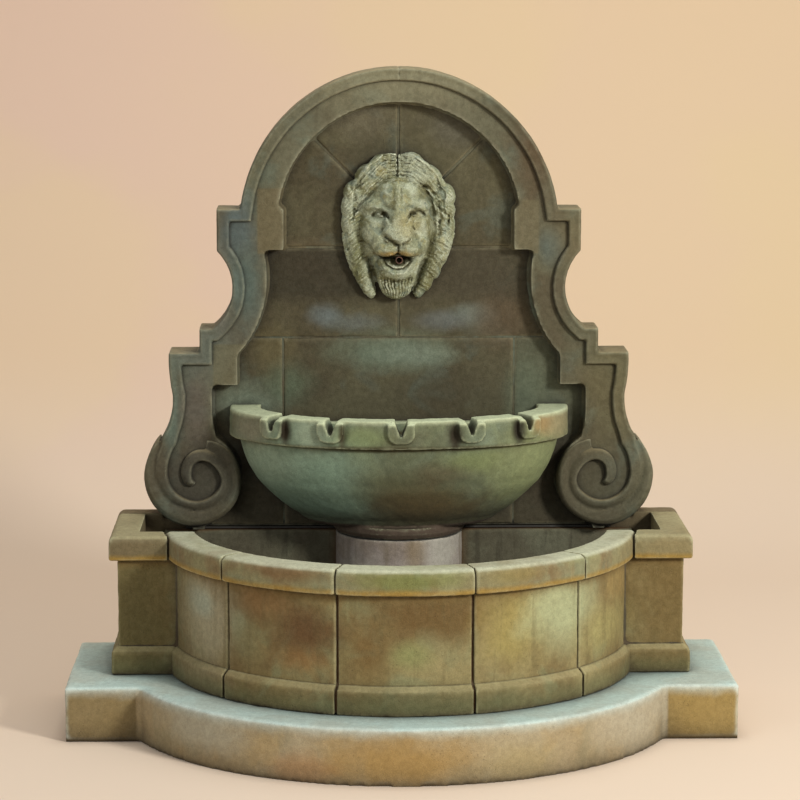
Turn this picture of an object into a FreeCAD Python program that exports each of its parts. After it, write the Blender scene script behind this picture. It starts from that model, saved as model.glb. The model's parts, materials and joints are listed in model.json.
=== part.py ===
import FreeCAD, Part
import math
import os
import re

import Sketcher

# Garden wall fountain: an arched back panel with a lion mask stands on the rear wall of a
# bowed pool. The pool stands on a plinth slab. A half-round bowl on a pedestal catches the
# water and spills it back through five notches. A pump in the hollow pedestal feeds the mask.
#
# Millimetres, +Z up, +X to the right of someone who faces the fountain, -Y to the front.
# Pieces are drawn in the wall frame, where y = 0 is the wall, and then placed so that the
# origin lies under the middle of the whole.

SIZES = {
    # plinth slab
    "plinthWidth": 1400,
    "plinthHeight": 116,
    "plinthWingDepth": 430,
    "plinthBowRadius": 593,
    "plinthBowSetback": 193,
    "plinthEdgeRound": 8,
    # pool casting
    "poolWidth": 1192,
    "poolPierDepth": 303,
    "poolBowRadius": 486,
    "poolBowSetback": 189,
    "poolWallHeight": 245,
    "poolWallThickness": 41,
    "poolFloorThickness": 38,
    "rearWallThickness": 64,
    "rearWallRise": 19,
    "baseMouldHeight": 60,
    "baseMouldProjection": 15,
    "baseMouldChamfer": 12,
    "jointGroove": 5,
    "innerJointAngle": 16.2,
    "outerJointAngle": 47.4,
    # coping stones
    "copingWidth": 62,
    "copingHeight": 52,
    "copingOverhang": 18,
    "copingRound": 14,
    "copingJoint": 2,
    "returnInnerHalf": 514,
    "returnDepth": 50,
    # back panel
    "panelTop": 1382,
    "panelBedding": 4,
    "bandDepth": 98,
    "mouldingRise": 10,
    "mouldingWidth": 28,
    "fieldDepth": 58,
    "archRadius": 342,
    "archInnerRadius": 259,
    "archInnerRise": 8,
    "earHalfWidth": 390,
    "earTop": 1082,
    "earBottom": 992,
    "corbelHalfGap": 245,
    "corbelWidth": 44,
    "waistHalfWidth": 357,
    "waistRise": 6,
    "waistFoot": 825,
    "waistFootHalfWidth": 400,
    "stepLedge": 29,
    "shoulderTop": 773,
    "shoulderHalfWidth": 495,
    "flankHalfWidth": 487,
    "flankHeight": 680,
    "flankHollow": 12,
    "shoulderHollow": 3,
    "innerStepHalfWidth": 347,
    "innerStepTop": 765,
    "innerShoulderHalfWidth": 402,
    "innerShoulderTop": 700,
    "innerShoulderDrop": 64,
    "innerWaistHollow": 30,
    "scrollRadius": 105,
    "scrollCentreHalf": 447,
    "scrollCentreHeight": 497,
    "scrollRise": 14,
    "scrollLeaveAngle": 28,
    "scrollInnerLow": 75,
    "scrollInnerHigh": 60,
    "scrollEyeRadius": 42,
    "scrollEyeRise": 21,
    "scrollGrooveRadius": 84,
    "scrollGrooveWidth": 12,
    "panelRecess": 28,
    "panelRecessMargin": 26,
    "fieldJointWidth": 5,
    "lowerCourse": 800,
    "middleCourse": 995,
    "lowerJointHalf": 250,
    "lowerJointReach": 45,
    # lion mask
    "maskHalfWidth": 122,
    "maskHalfHeight": 157,
    "maskCentreHeight": 1043,
    "maskPlateInset": 16,
    "maskPlateDepth": 38,
    "maskLockRadius": 36,
    "maskLocks": 16,
    "innerLockRadius": 26,
    "innerLocks": 12,
    "innerLockInset": 44,
    "browRadius": 52,
    "browRise": 42,
    "cheekRadius": 48,
    "cheekHalfSpacing": 24,
    "muzzleRadius": 34,
    "muzzleDepth": 72,
    "muzzleRise": 32,
    "jawRadius": 28,
    "jawDepth": 56,
    "beardLength": 62,
    "beardTip": 7,
    "beardLeanAngle": 22,
    "sideLockHalf": 58,
    "sideLockLength": 84,
    "sideLockTip": 9,
    "sideLockLeanAngle": 11,
    "mouthWidth": 38,
    "mouthHeight": 24,
    "spoutHeight": 973,
    "studHalfSpacing": 58,
    "studHeight": 1092,
    "studRadius": 4,
    "studEmbed": 30,
    "studTail": 3,
    "studWasherRadius": 9.6,
    "studNutAcrossFlats": 13,
    "studNutThickness": 6.4,
    # bowl
    "bowlHalfWidth": 366,
    "bowlReach": 235,
    "bowlSetback": 80,
    "rimBottom": 593,
    "rimTop": 654,
    "rimRound": 5,
    "rimWidth": 66,
    "lipStep": 21,
    "bowlWall": 34,
    "bowlSideHeight": 510,
    "bowlSideHalf": 317,
    "bowlLowHeight": 424,
    "bowlLowHalf": 243,
    "bowlLowSwell": 8,
    "bowlSideSwell": 13,
    "bowlNeckSwell": 3,
    "bowlInnerNeckSwell": 2,
    "bowlInnerSideSwell": 12,
    "bowlBackTop": 618,
    "footRadius": 153,
    "footHeight": 24,
    "footLap": 4,
    "notchCount": 5,
    "notchAngle": 23.8,
    "notchTopWidth": 31.2,
    "notchDepth": 39,
    "bossWidth": 58,
    "bossBottom": 606,
    "bossRise": 9,
    "bossCorner": 22,
    "dowelRadius": 6,
    "dowelHalfSpacing": 180,
    "dowelHeight": 560,
    "dowelEmbed": 22,
    # pedestal
    "pedestalRadius": 137,
    "pedestalWall": 30,
    "bowlPadThickness": 3,
    "bowlPadInset": 4,
    "waterwayHeight": 55,
    "waterwayWidth": 60,
    # water fittings
    "spoutTubeRadius": 7.5,
    "spoutTubeBore": 6,
    "spoutReach": 62,
    "washerThickness": 1.5,
    "washerRadius": 15,
    "nutThickness": 6,
    "nutAcrossFlats": 24,
    "hoseRadius": 8,
    "hoseBore": 6.3,
    "hoseLine": 14,
    "hoseBend": 44,
    "hoseSlotHeight": 364,
    "hoseClearance": 4,
    "elbowRadius": 9.5,
    "elbowCollar": 3,
    "barbLength": 30,
    "clampWidth": 9,
    "clampThickness": 1.2,
    "clampScrewLength": 6,
    "clampScrewWidth": 4,
    "lowerClampRise": 12,
    "upperClampDrop": 15,
    "clipThickness": 14,
    "clipWall": 3,
    "clipCount": 3,
    "clipFirst": 500,
    "clipSpacing": 150,
    "clipScrewRadius": 2,
    "clipScrewGap": 2,
    # drain and cord hole
    "drainX": 300,
    "drainSetback": 330,
    "drainBore": 12,
    "drainTubeRadius": 15,
    "drainFlangeRadius": 25,
    "drainFlangeThickness": 3,
    "drainEnd": 6,
    "plugLength": 26,
    "plugTaper": 2,
    "plugCapRadius": 18,
    "plugCapThickness": 7,
    "plugKnobRadius": 6,
    "plugKnobHeight": 14,
    "grommetX": 70,
    "grommetHeight": 330,
    "grommetRadius": 14,
    "grommetFlangeRadius": 18,
    "grommetFlangeThickness": 4,
    "cordRadius": 4,
    # wall hangers
    "hangerHalfSpacing": 300,
    "hangerHeight": 1040,
    "hangerWidth": 34,
    "hangerLength": 76,
    "hangerThickness": 3,
    "hangerHoleRadius": 5.5,
    "hangerPocketRadius": 11,
    "hangerPocketDepth": 16,
    "hangerScrewRadius": 2.5,
    "hangerScrewLength": 22,
    "hangerScrewOffset": 26,
    # pump
    "pumpSetback": 122,
    "pumpAxisHeight": 40,
    "motorLength": 62,
    "motorWidth": 50,
    "motorHeight": 52,
    "motorRound": 6,
    "chamberRadius": 10,
    "chamberLength": 44,
    "shaftRadius": 1.5,
    "bushRadius": 4.5,
    "bushLength": 5,
    "magnetRadius": 8.5,
    "magnetLength": 42,
    "shaftClearance": 0.05,
    "impellerRadius": 15,
    "impellerThickness": 2,
    "vaneHeight": 6,
    "vaneThickness": 2,
    "vaneCount": 6,
    "vaneInset": 1,
    "voluteRadius": 22,
    "voluteLength": 18,
    "voluteWall": 2.5,
    "voluteEye": 7,
    "spokeHub": 3,
    "spokeWidth": 2,
    "spokeLap": 0.5,
    "frontBushWall": 1.5,
    "nippleRadius": 6.2,
    "nippleBore": 4.4,
    "nippleCollar": 9,
    "nippleCollarHeight": 6,
    "nippleHeight": 28,
    "nozzleSeat": 5,
    "coverLength": 20,
    "coverLap": 6,
    "coverWall": 2.5,
    "coverClearance": 0.4,
    "coverSlots": 12,
    "coverSlotWidth": 5,
    "coverSlotMargin": 4,
    "coverNeckGap": 1,
    "dialRadius": 9,
    "dialThickness": 3,
    "dialGrip": 3,
    "dialStemRadius": 3,
    "dialStemLength": 5.5,
    "glandRadius": 7,
    "glandLength": 12,
    "footPadRadius": 8,
    "footPadStemRadius": 4,
    "footPadInset": 2,
    "footPadWall": 2,
    "footPadHollowTop": 1,
    "runningGap": 0.3,
}

doc = FreeCAD.newDocument("garden_wall_fountain")
sheet = doc.addObject("Spreadsheet::Sheet", "sizes")
for row, (alias, number) in enumerate(SIZES.items(), start=1):
    sheet.set("A%d" % row, alias)
    sheet.set("B%d" % row, str(number))
    sheet.setAlias("B%d" % row, alias)
doc.recompute()

nodes = []


class SheetValues:
    """Reads a driving dimension from the sheet by its name."""

    def __getattr__(self, alias):
        return float(sheet.get(alias))


s = SheetValues()

# Levels and lines that several pieces share, as expressions of the driving dimensions.
WALL_LINE = "(plinthBowSetback + plinthBowRadius) / 2"
FLOOR_TOP = "(plinthHeight + poolFloorThickness)"
WALL_TOP = "(plinthHeight + poolWallHeight)"
REAR_TOP = "(plinthHeight + poolWallHeight + rearWallRise)"
PANEL_FOOT = "(plinthHeight + poolWallHeight + rearWallRise + panelBedding)"
PUMP_LEVEL = "(plinthHeight + poolFloorThickness + pumpAxisHeight)"


def bound(text):
    """Turns each driving dimension's name in the text into a reference to its cell."""
    def refer(match):
        word = match.group(0)
        return "sizes." + word if word in SIZES else word
    return re.sub(r"[A-Za-z_]\w*", refer, text)


def value(text):
    """The number that the expression gives with the sheet's present values."""
    return float(sheet.evalExpression(bound(text)))


def point(x, y, z):
    return FreeCAD.Vector(x, y, z)


def place(obj, x, y, z):
    """Binds the position to the sheet, and keeps the rotation that is already set."""
    for axis, text in zip("xyz", (x, y, z)):
        obj.setExpression("Placement.Base." + axis, bound(text))


def box(name, corner, spans):
    obj = doc.addObject("Part::Box", name)
    for prop, text in zip(("Length", "Width", "Height"), spans):
        obj.setExpression(prop, bound(text))
    place(obj, *corner)
    return obj


def cylinder(name, base, radius, height, along="Z"):
    obj = doc.addObject("Part::Cylinder", name)
    obj.setExpression("Radius", bound(radius))
    obj.setExpression("Height", bound(height))
    obj.Placement.Rotation = AXIS_TURNS[along]
    place(obj, *base)
    return obj


AXIS_TURNS = {
    "Z": FreeCAD.Rotation(point(0, 0, 1), 0),
    "X": FreeCAD.Rotation(point(0, 1, 0), 90),
    "-X": FreeCAD.Rotation(point(0, 1, 0), -90),
    "Y": FreeCAD.Rotation(point(1, 0, 0), -90),
    "-Y": FreeCAD.Rotation(point(1, 0, 0), 90),
}


def fuse(name, *parts):
    obj = doc.addObject("Part::MultiFuse", name)
    obj.Shapes = list(parts)
    obj.Refine = True
    return obj


def cut(name, base, *tools):
    obj = doc.addObject("Part::Cut", name)
    obj.Base = base
    obj.Tool = tools[0] if len(tools) == 1 else fuse(name + "_tools", *tools)
    return obj


def common(name, first, second):
    obj = doc.addObject("Part::MultiCommon", name)
    obj.Shapes = [first, second]
    return obj


def rounded(name, base, radius_alias, chosen):
    """Rounds the base's edges that the chooser picks."""
    doc.recompute()
    obj = doc.addObject("Part::Fillet", name)
    obj.Base = base
    radius = value(radius_alias)
    picked = [i for i, edge in enumerate(base.Shape.Edges, start=1) if chosen(edge)]
    obj.Edges = [(i, radius, radius) for i in picked]
    return obj


def node(obj, label):
    """Names a sub-part and sets it from the wall frame into the part's frame."""
    obj.Label = label
    obj.setExpression("Placement.Base.y", bound(WALL_LINE))
    nodes.append(obj)
    return obj


def shape_node(label, shape):
    """A sub-part whose shape is worked out by this file from the sheet's values."""
    obj = doc.addObject("Part::Feature", label)
    obj.Shape = shape
    obj.Placement = FreeCAD.Placement()
    return node(obj, label)


def origin_plane(body, role):
    return next(f for f in body.Origin.OriginFeatures if f.Role == role)


def profile_sketch(body, name, corners, role="XZ_Plane"):
    """A closed outline in straight lines whose corners are bound to the sheet."""
    sketch = body.newObject("Sketcher::SketchObject", name)
    sketch.AttachmentSupport = [(origin_plane(body, role), "")]
    sketch.MapMode = "FlatFace"
    values = [(value(across), value(up)) for across, up in corners]
    count = len(corners)
    for i in range(count):
        start = point(values[i][0], values[i][1], 0)
        end = point(values[(i + 1) % count][0], values[(i + 1) % count][1], 0)
        sketch.addGeometry(Part.LineSegment(start, end), False)
    for i in range(count):
        sketch.addConstraint(Sketcher.Constraint("Coincident", i, 2, (i + 1) % count, 1))
    for i, (across, up) in enumerate(corners):
        pin_corner(sketch, i, "DistanceX", across, values[i][0], -2)
        pin_corner(sketch, i, "DistanceY", up, values[i][1], -1)
    return sketch


def pin_corner(sketch, line, kind, text, number, axis):
    if text == "0":
        sketch.addConstraint(Sketcher.Constraint("PointOnObject", line, 1, axis))
        return
    index = sketch.addConstraint(Sketcher.Constraint(kind, -1, 1, line, 1, number))
    sketch.setExpression("Constraints[%d]" % index, bound(text))


def turned(label, corners, at, along="Z", angle=360):
    """A body of revolution: corners are (radius, distance along the axis)."""
    body = doc.addObject("PartDesign::Body", label)
    sketch = profile_sketch(body, label + "_profile", corners)
    turn = body.newObject("PartDesign::Revolution", label + "_turn")
    turn.Profile = sketch
    turn.ReferenceAxis = (sketch, ["V_Axis"])
    turn.Angle = angle
    body.Placement.Rotation = AXIS_TURNS[along]
    body_place(body, at)
    body.Label = label
    nodes.append(body)
    return body


def body_place(body, at):
    x, y, z = at
    place(body, x, "%s + %s" % (WALL_LINE, y), z)


def groove_cutters(name, radius, angles, bottom, height):
    """Upright V grooves around the bow, as square bars turned 45 degrees."""
    bars = []
    for i, angle in enumerate(angles):
        bar = box("%s_%d" % (name, i), ("0", "0", "0"), ("jointGroove", "jointGroove", height))
        bar.Placement.Rotation = FreeCAD.Rotation(point(0, 0, 1), 45)
        half_diagonal = "jointGroove * 0.7071"
        sign = -1 if angle.startswith("-") else 1
        plain = angle.lstrip("-")
        place(bar, "%d * (%s) * sin(%s * 1 deg)" % (sign, radius, plain),
              "-poolBowSetback - (%s) * cos(%s * 1 deg) - %s" % (radius, plain, half_diagonal),
              bottom)
        bars.append(bar)
    return bars


JOINT_ANGLES = ("-outerJointAngle", "-innerJointAngle", "innerJointAngle", "outerJointAngle")


def bowed_block(name, half_width, depth, bow_radius, setback, bottom, height, back="0"):
    """A slab with a straight pier part and a round bow in front of it."""
    piers = box(name + "_piers", ("-(%s)" % half_width, "-(%s)" % depth, bottom),
                ("2 * (%s)" % half_width, "%s - (%s)" % (depth, back), height))
    disc = cylinder(name + "_disc", ("0", "-(%s)" % setback, bottom), bow_radius, height)
    front = box(name + "_front",
                ("-(%s)" % bow_radius, "-(%s) - (%s)" % (setback, bow_radius), bottom),
                ("2 * (%s)" % bow_radius, bow_radius, height))
    bow = common(name + "_bow", disc, front)
    return fuse(name, piers, bow)


def make_plinth():
    slab = bowed_block("plinth_block", "plinthWidth / 2", "plinthWingDepth", "plinthBowRadius",
                       "plinthBowSetback", "0", "plinthHeight")
    drain = cylinder("plinth_drain", ("drainX", "-drainSetback", "0"), "drainTubeRadius", "plinthHeight")
    drilled = cut("plinth_drilled", slab, drain)
    top = s.plinthHeight

    def front_rim(edge):
        in_front = edge.BoundBox.ZMin > top - 0.01 and edge.BoundBox.YMax < -0.01
        round_drain = isinstance(edge.Curve, Part.Circle) and edge.Curve.Radius < s.plinthBowRadius / 2
        return in_front and not round_drain

    node(rounded("plinth_rounded", drilled, "plinthEdgeRound", front_rim), "plinth_slab")


def make_pool():
    walls = bowed_block("pool_walls", "poolWidth / 2", "poolPierDepth", "poolBowRadius",
                        "poolBowSetback", "plinthHeight", "poolWallHeight")
    step = "baseMouldProjection"
    mould = bowed_block("pool_mould", "poolWidth / 2 + " + step, "poolPierDepth + " + step,
                        "poolBowRadius + " + step, "poolBowSetback", "plinthHeight", "baseMouldHeight")
    mould_top = s.plinthHeight + s.baseMouldHeight
    doc.recompute()
    chamfered = doc.addObject("Part::Chamfer", "pool_mould_chamfer")
    chamfered.Base = mould
    size = s.baseMouldChamfer
    chamfered.Edges = [(i, size, size) for i, edge in enumerate(mould.Shape.Edges, start=1)
                       if edge.BoundBox.ZMin > mould_top - 0.01 and edge.BoundBox.YMax < -0.01
                       or edge.BoundBox.ZMin > mould_top - 0.01 and edge.BoundBox.XLength < 0.01]
    inside = bowed_block("pool_inside", "poolWidth / 2 - poolWallThickness",
                         "poolPierDepth - poolWallThickness", "poolBowRadius - poolWallThickness",
                         "poolBowSetback", FLOOR_TOP, "poolWallHeight", back="rearWallThickness")
    rise = box("pool_rear_rise", ("-returnInnerHalf", "-rearWallThickness", WALL_TOP),
               ("2 * returnInnerHalf", "rearWallThickness", "rearWallRise"))
    wall_grooves = groove_cutters("wall_groove", "poolBowRadius", JOINT_ANGLES,
                                  "plinthHeight", "poolWallHeight")
    mould_grooves = groove_cutters("mould_groove", "poolBowRadius + baseMouldProjection",
                                   JOINT_ANGLES, "plinthHeight", "baseMouldHeight")
    slot_half = "(hoseRadius + hoseClearance)"
    slot = box("pool_hose_slot", ("-" + slot_half, "-rearWallThickness", "hoseSlotHeight - " + slot_half),
               ("2 * " + slot_half, "rearWallThickness", "%s - hoseSlotHeight + %s" % (REAR_TOP, slot_half)))
    drain = cylinder("pool_drain", ("drainX", "-drainSetback", "plinthHeight"), "drainTubeRadius",
                     "poolFloorThickness")
    cord_hole = cylinder("pool_cord_hole", ("grommetX", "-rearWallThickness", "grommetHeight"),
                         "grommetRadius", "rearWallThickness", along="Y")
    body = fuse("pool_body", walls, chamfered, rise)
    node(cut("pool_cut", body, inside, slot, drain, cord_hole, *wall_grooves, *mould_grooves),
         "pool_basin")


def make_bow_coping():
    outer = s.poolBowRadius + s.copingOverhang
    inner = outer - s.copingWidth
    bottom = value(WALL_TOP)
    top = bottom + s.copingHeight
    bend = s.copingRound
    crown = point(outer - bend * (1 - math.sqrt(0.5)), 0, top - bend * (1 - math.sqrt(0.5)))
    section = Part.Wire([
        Part.LineSegment(point(inner, 0, bottom), point(outer, 0, bottom)).toShape(),
        Part.LineSegment(point(outer, 0, bottom), point(outer, 0, top - bend)).toShape(),
        Part.Arc(point(outer, 0, top - bend), crown, point(outer - bend, 0, top)).toShape(),
        Part.LineSegment(point(outer - bend, 0, top), point(inner, 0, top)).toShape(),
        Part.LineSegment(point(inner, 0, top), point(inner, 0, bottom)).toShape()])
    face = Part.Face(section)
    centre = point(0, -s.poolBowSetback, 0)
    joint = math.degrees(s.copingJoint / outer)
    pier_inner = s.poolPierDepth + s.copingOverhang - s.copingWidth
    behind = Part.makeBox(4 * outer, 4 * outer, 4 * top, point(-2 * outer, -pier_inner, 0))
    stones = [
        ("coping_bow_left_outer", -90, -s.outerJointAngle),
        ("coping_bow_left_inner", -s.outerJointAngle, -s.innerJointAngle),
        ("coping_bow_centre", -s.innerJointAngle, s.innerJointAngle),
        ("coping_bow_right_inner", s.innerJointAngle, s.outerJointAngle),
        ("coping_bow_right_outer", s.outerJointAngle, 90)]
    for label, start, end in stones:
        stone = face.revolve(point(0, 0, 0), point(0, 0, 1), end - start - joint)
        # Angle 0 of the revolved section lies on +X, and the bow's middle on -Y.
        stone.rotate(point(0, 0, 0), point(0, 0, 1), start - 90 + joint / 2)
        stone.translate(centre)
        shape_node(label, stone.cut(behind))


def make_arm_coping(side, sign):
    """The stone over a pier and along the pool's side, and the short stone behind it."""
    half = "(poolWidth / 2 + copingOverhang)"
    depth = "(poolPierDepth + copingOverhang)"
    bow = "(poolBowRadius + copingOverhang + copingJoint)"
    name = "coping_arm_" + side
    reach = "(%s - poolBowRadius / 2)" % half
    start = "poolBowRadius / 2" if sign > 0 else "-%s" % half
    plate = box(name + "_plate", (start, "-" + depth, WALL_TOP), (reach, depth, "copingHeight"))
    hollow_start = "0" if sign > 0 else "-(%s - copingWidth)" % half
    hollow = box(name + "_hollow", (hollow_start, "-(%s - copingWidth)" % depth, WALL_TOP),
                 ("%s - copingWidth" % half, depth, "copingHeight"))
    disc = cylinder(name + "_disc", ("0", "-poolBowSetback", WALL_TOP), bow, "copingHeight")
    rear = box(name + "_rear", (start, "-(returnDepth + copingJoint)", WALL_TOP),
               (reach, "returnDepth + copingJoint", "copingHeight"))
    stone = cut(name + "_cut", plate, hollow, disc, rear)
    top = value(WALL_TOP) + s.copingHeight
    side_face = sign * value(half)
    front_face = -value(depth)

    def outer_top(edge):
        box_ = edge.BoundBox
        flat = box_.ZMin > top - 0.01
        on_side = abs(box_.XMin - side_face) < 0.01 and abs(box_.XMax - side_face) < 0.01
        on_front = abs(box_.YMin - front_face) < 0.01 and abs(box_.YMax - front_face) < 0.01
        return flat and (on_side or on_front)

    node(rounded(name + "_rounded", stone, "copingRound", outer_top), name)
    tail = "coping_return_" + side
    x = "returnInnerHalf" if sign > 0 else "-" + half
    block = box(tail + "_block", (x, "-returnDepth", WALL_TOP),
                ("%s - returnInnerHalf" % half, "returnDepth", "copingHeight"))

    def outer_side(edge):
        box_ = edge.BoundBox
        return box_.ZMin > top - 0.01 and abs(box_.XMin - side_face) < 0.01 and box_.XLength < 0.01

    node(rounded(tail + "_rounded", block, "copingRound", outer_side), tail)


def arc(a, b, c):
    return Part.Arc(a, b, c).toShape()


def line(a, b):
    return Part.LineSegment(a, b).toShape()


def bulge(a, b, rise):
    """The middle point of an arc from a to b that rises from its chord, to the chord's left."""
    middle = (a + b) * 0.5
    chord = b - a
    left = point(-chord.z, 0, chord.x)
    left.normalize()
    return middle + left * rise


def mirrored_face(edges):
    """A face from the outline's right half, whose ends lie on the middle line."""
    half = Part.Wire(Part.__sortEdges__(edges))
    other = half.mirror(point(0, 0, 0), point(1, 0, 0))
    return Part.Face(Part.Wire(Part.__sortEdges__(half.Edges + other.Edges)))


def panel_outline(y):
    """The right half of the panel's outer outline, from its foot round to the arch's top."""
    def at(x, z):
        return point(x, y, z)
    foot = value(PANEL_FOOT)
    centre_x, centre_z, radius = s.scrollCentreHalf, s.scrollCentreHeight, s.scrollRadius
    low = at(centre_x, centre_z - radius)
    side = at(centre_x + radius, centre_z)
    low_side = at(centre_x + radius * math.sqrt(0.5), centre_z - radius * math.sqrt(0.5))
    lean = math.radians(s.scrollLeaveAngle)
    leave = at(centre_x + radius * math.cos(lean), centre_z + radius * math.sin(lean))
    side_mid = at(centre_x + radius * math.cos(lean / 2), centre_z + radius * math.sin(lean / 2))
    flank = at(s.flankHalfWidth, s.flankHeight)
    shoulder = at(s.shoulderHalfWidth, s.shoulderTop)
    step_half = s.waistFootHalfWidth + s.stepLedge
    step_in = at(step_half, s.shoulderTop)
    step_out = at(step_half, s.waistFoot)
    waist_low = at(s.waistFootHalfWidth, s.waistFoot)
    waist_high = at(s.earHalfWidth, s.earBottom)
    waist_mid = at(s.waistHalfWidth, (s.waistFoot + s.earBottom) / 2 + s.waistRise)
    arch_z = s.panelTop - s.archRadius
    ear = at(s.earHalfWidth, s.earTop)
    spring = at(math.sqrt(s.archRadius ** 2 - (s.earTop - arch_z) ** 2), s.earTop)
    crown = at(0, s.panelTop)
    haunch = at(s.archRadius * math.sqrt(0.5), arch_z + s.archRadius * math.sqrt(0.5))
    return [
        line(at(0, foot), at(centre_x, foot)),
        line(at(centre_x, foot), low),
        arc(low, low_side, side),
        arc(side, side_mid, leave),
        arc(leave, bulge(leave, flank, s.flankHollow), flank),
        arc(flank, bulge(flank, shoulder, s.shoulderHollow), shoulder),
        line(shoulder, step_in),
        line(step_in, step_out),
        line(step_out, waist_low),
        arc(waist_low, waist_mid, waist_high),
        line(waist_high, ear),
        line(ear, spring),
        arc(spring, haunch, crown)]


def field_outline(y):
    """The right half of the sunk field's outline, from its foot round to the inner arch's top."""
    def at(x, z):
        return point(x, y, z)
    foot = value(PANEL_FOOT)
    radius = s.archInnerRadius
    arch_z = s.panelTop - s.archRadius + s.archInnerRise
    corbel_x, corbel_top = s.corbelHalfGap, s.earTop
    corbel_out = corbel_x + s.corbelWidth

    def on_scroll(degrees):
        turn = math.radians(degrees)
        return at(s.scrollCentreHalf - s.scrollRadius * math.cos(turn),
                  s.scrollCentreHeight + s.scrollRadius * math.sin(turn))

    scroll_low, scroll_high = on_scroll(-s.scrollInnerLow), on_scroll(s.scrollInnerHigh)
    scroll_side = on_scroll((s.scrollInnerHigh - s.scrollInnerLow) / 2)
    scroll_foot = at(scroll_low.x, foot)
    shoulder_low = at(s.innerShoulderHalfWidth, s.innerShoulderTop - s.innerShoulderDrop)
    shoulder_high = at(s.innerShoulderHalfWidth, s.innerShoulderTop)
    step_low = at(s.innerStepHalfWidth, s.innerShoulderTop)
    step_high = at(s.innerStepHalfWidth, s.innerStepTop)
    corbel_foot = at(corbel_out, s.earBottom)
    spring = at(math.sqrt(radius ** 2 - (corbel_top - arch_z) ** 2), corbel_top)
    haunch = at(radius * math.sqrt(0.5), arch_z + radius * math.sqrt(0.5))
    return [
        line(at(0, foot), scroll_foot),
        line(scroll_foot, scroll_low),
        arc(scroll_low, scroll_side, scroll_high),
        line(scroll_high, shoulder_low),
        line(shoulder_low, shoulder_high),
        line(shoulder_high, step_low),
        line(step_low, step_high),
        arc(step_high, bulge(step_high, corbel_foot, s.innerWaistHollow), corbel_foot),
        line(corbel_foot, at(corbel_x, s.earBottom)),
        line(at(corbel_x, s.earBottom), at(corbel_x, corbel_top)),
        line(at(corbel_x, corbel_top), spring),
        arc(spring, haunch, at(0, arch_z + radius))]


def slab(face, front, back):
    """The face, drawn at the plane y = -front, carried back to y = -back."""
    return face.extrude(point(0, front - back, 0))


def field_joints():
    """Scored joints between the blocks that the field imitates."""
    half = s.fieldJointWidth / 2
    face = -s.fieldDepth
    foot = value(PANEL_FOOT)
    arch_z = s.panelTop - s.archRadius + s.archInnerRise
    side = s.corbelHalfGap + s.corbelWidth
    low_side = side + s.lowerJointReach
    runs = [
        (point(-low_side, face, s.lowerCourse), point(low_side, face, s.lowerCourse)),
        (point(-side, face, s.middleCourse), point(side, face, s.middleCourse)),
        (point(0, face, s.lowerCourse), point(0, face, s.middleCourse)),
        (point(0, face, arch_z), point(0, face, arch_z + s.archInnerRadius)),
        (point(-s.lowerJointHalf, face, foot), point(-s.lowerJointHalf, face, s.lowerCourse)),
        (point(s.lowerJointHalf, face, foot), point(s.lowerJointHalf, face, s.lowerCourse))]
    for sign in (-1, 1):
        turn = math.radians(45)
        reach = s.archInnerRadius
        runs.append((point(0, face, arch_z),
                     point(sign * reach * math.sin(turn), face, arch_z + reach * math.cos(turn))))
    bars = []
    for start, end in runs:
        length = (end - start).Length
        bar = Part.makeBox(length, half * math.sqrt(2), half * math.sqrt(2), point(0, 0, 0))
        bar.translate(point(0, -half / math.sqrt(2), -half / math.sqrt(2)))
        bar.rotate(point(0, 0, 0), point(1, 0, 0), 45)
        along = FreeCAD.Placement(start, FreeCAD.Rotation(point(1, 0, 0), end - start))
        bar.Placement = along.multiply(bar.Placement)
        bars.append(bar)
    return bars


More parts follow.
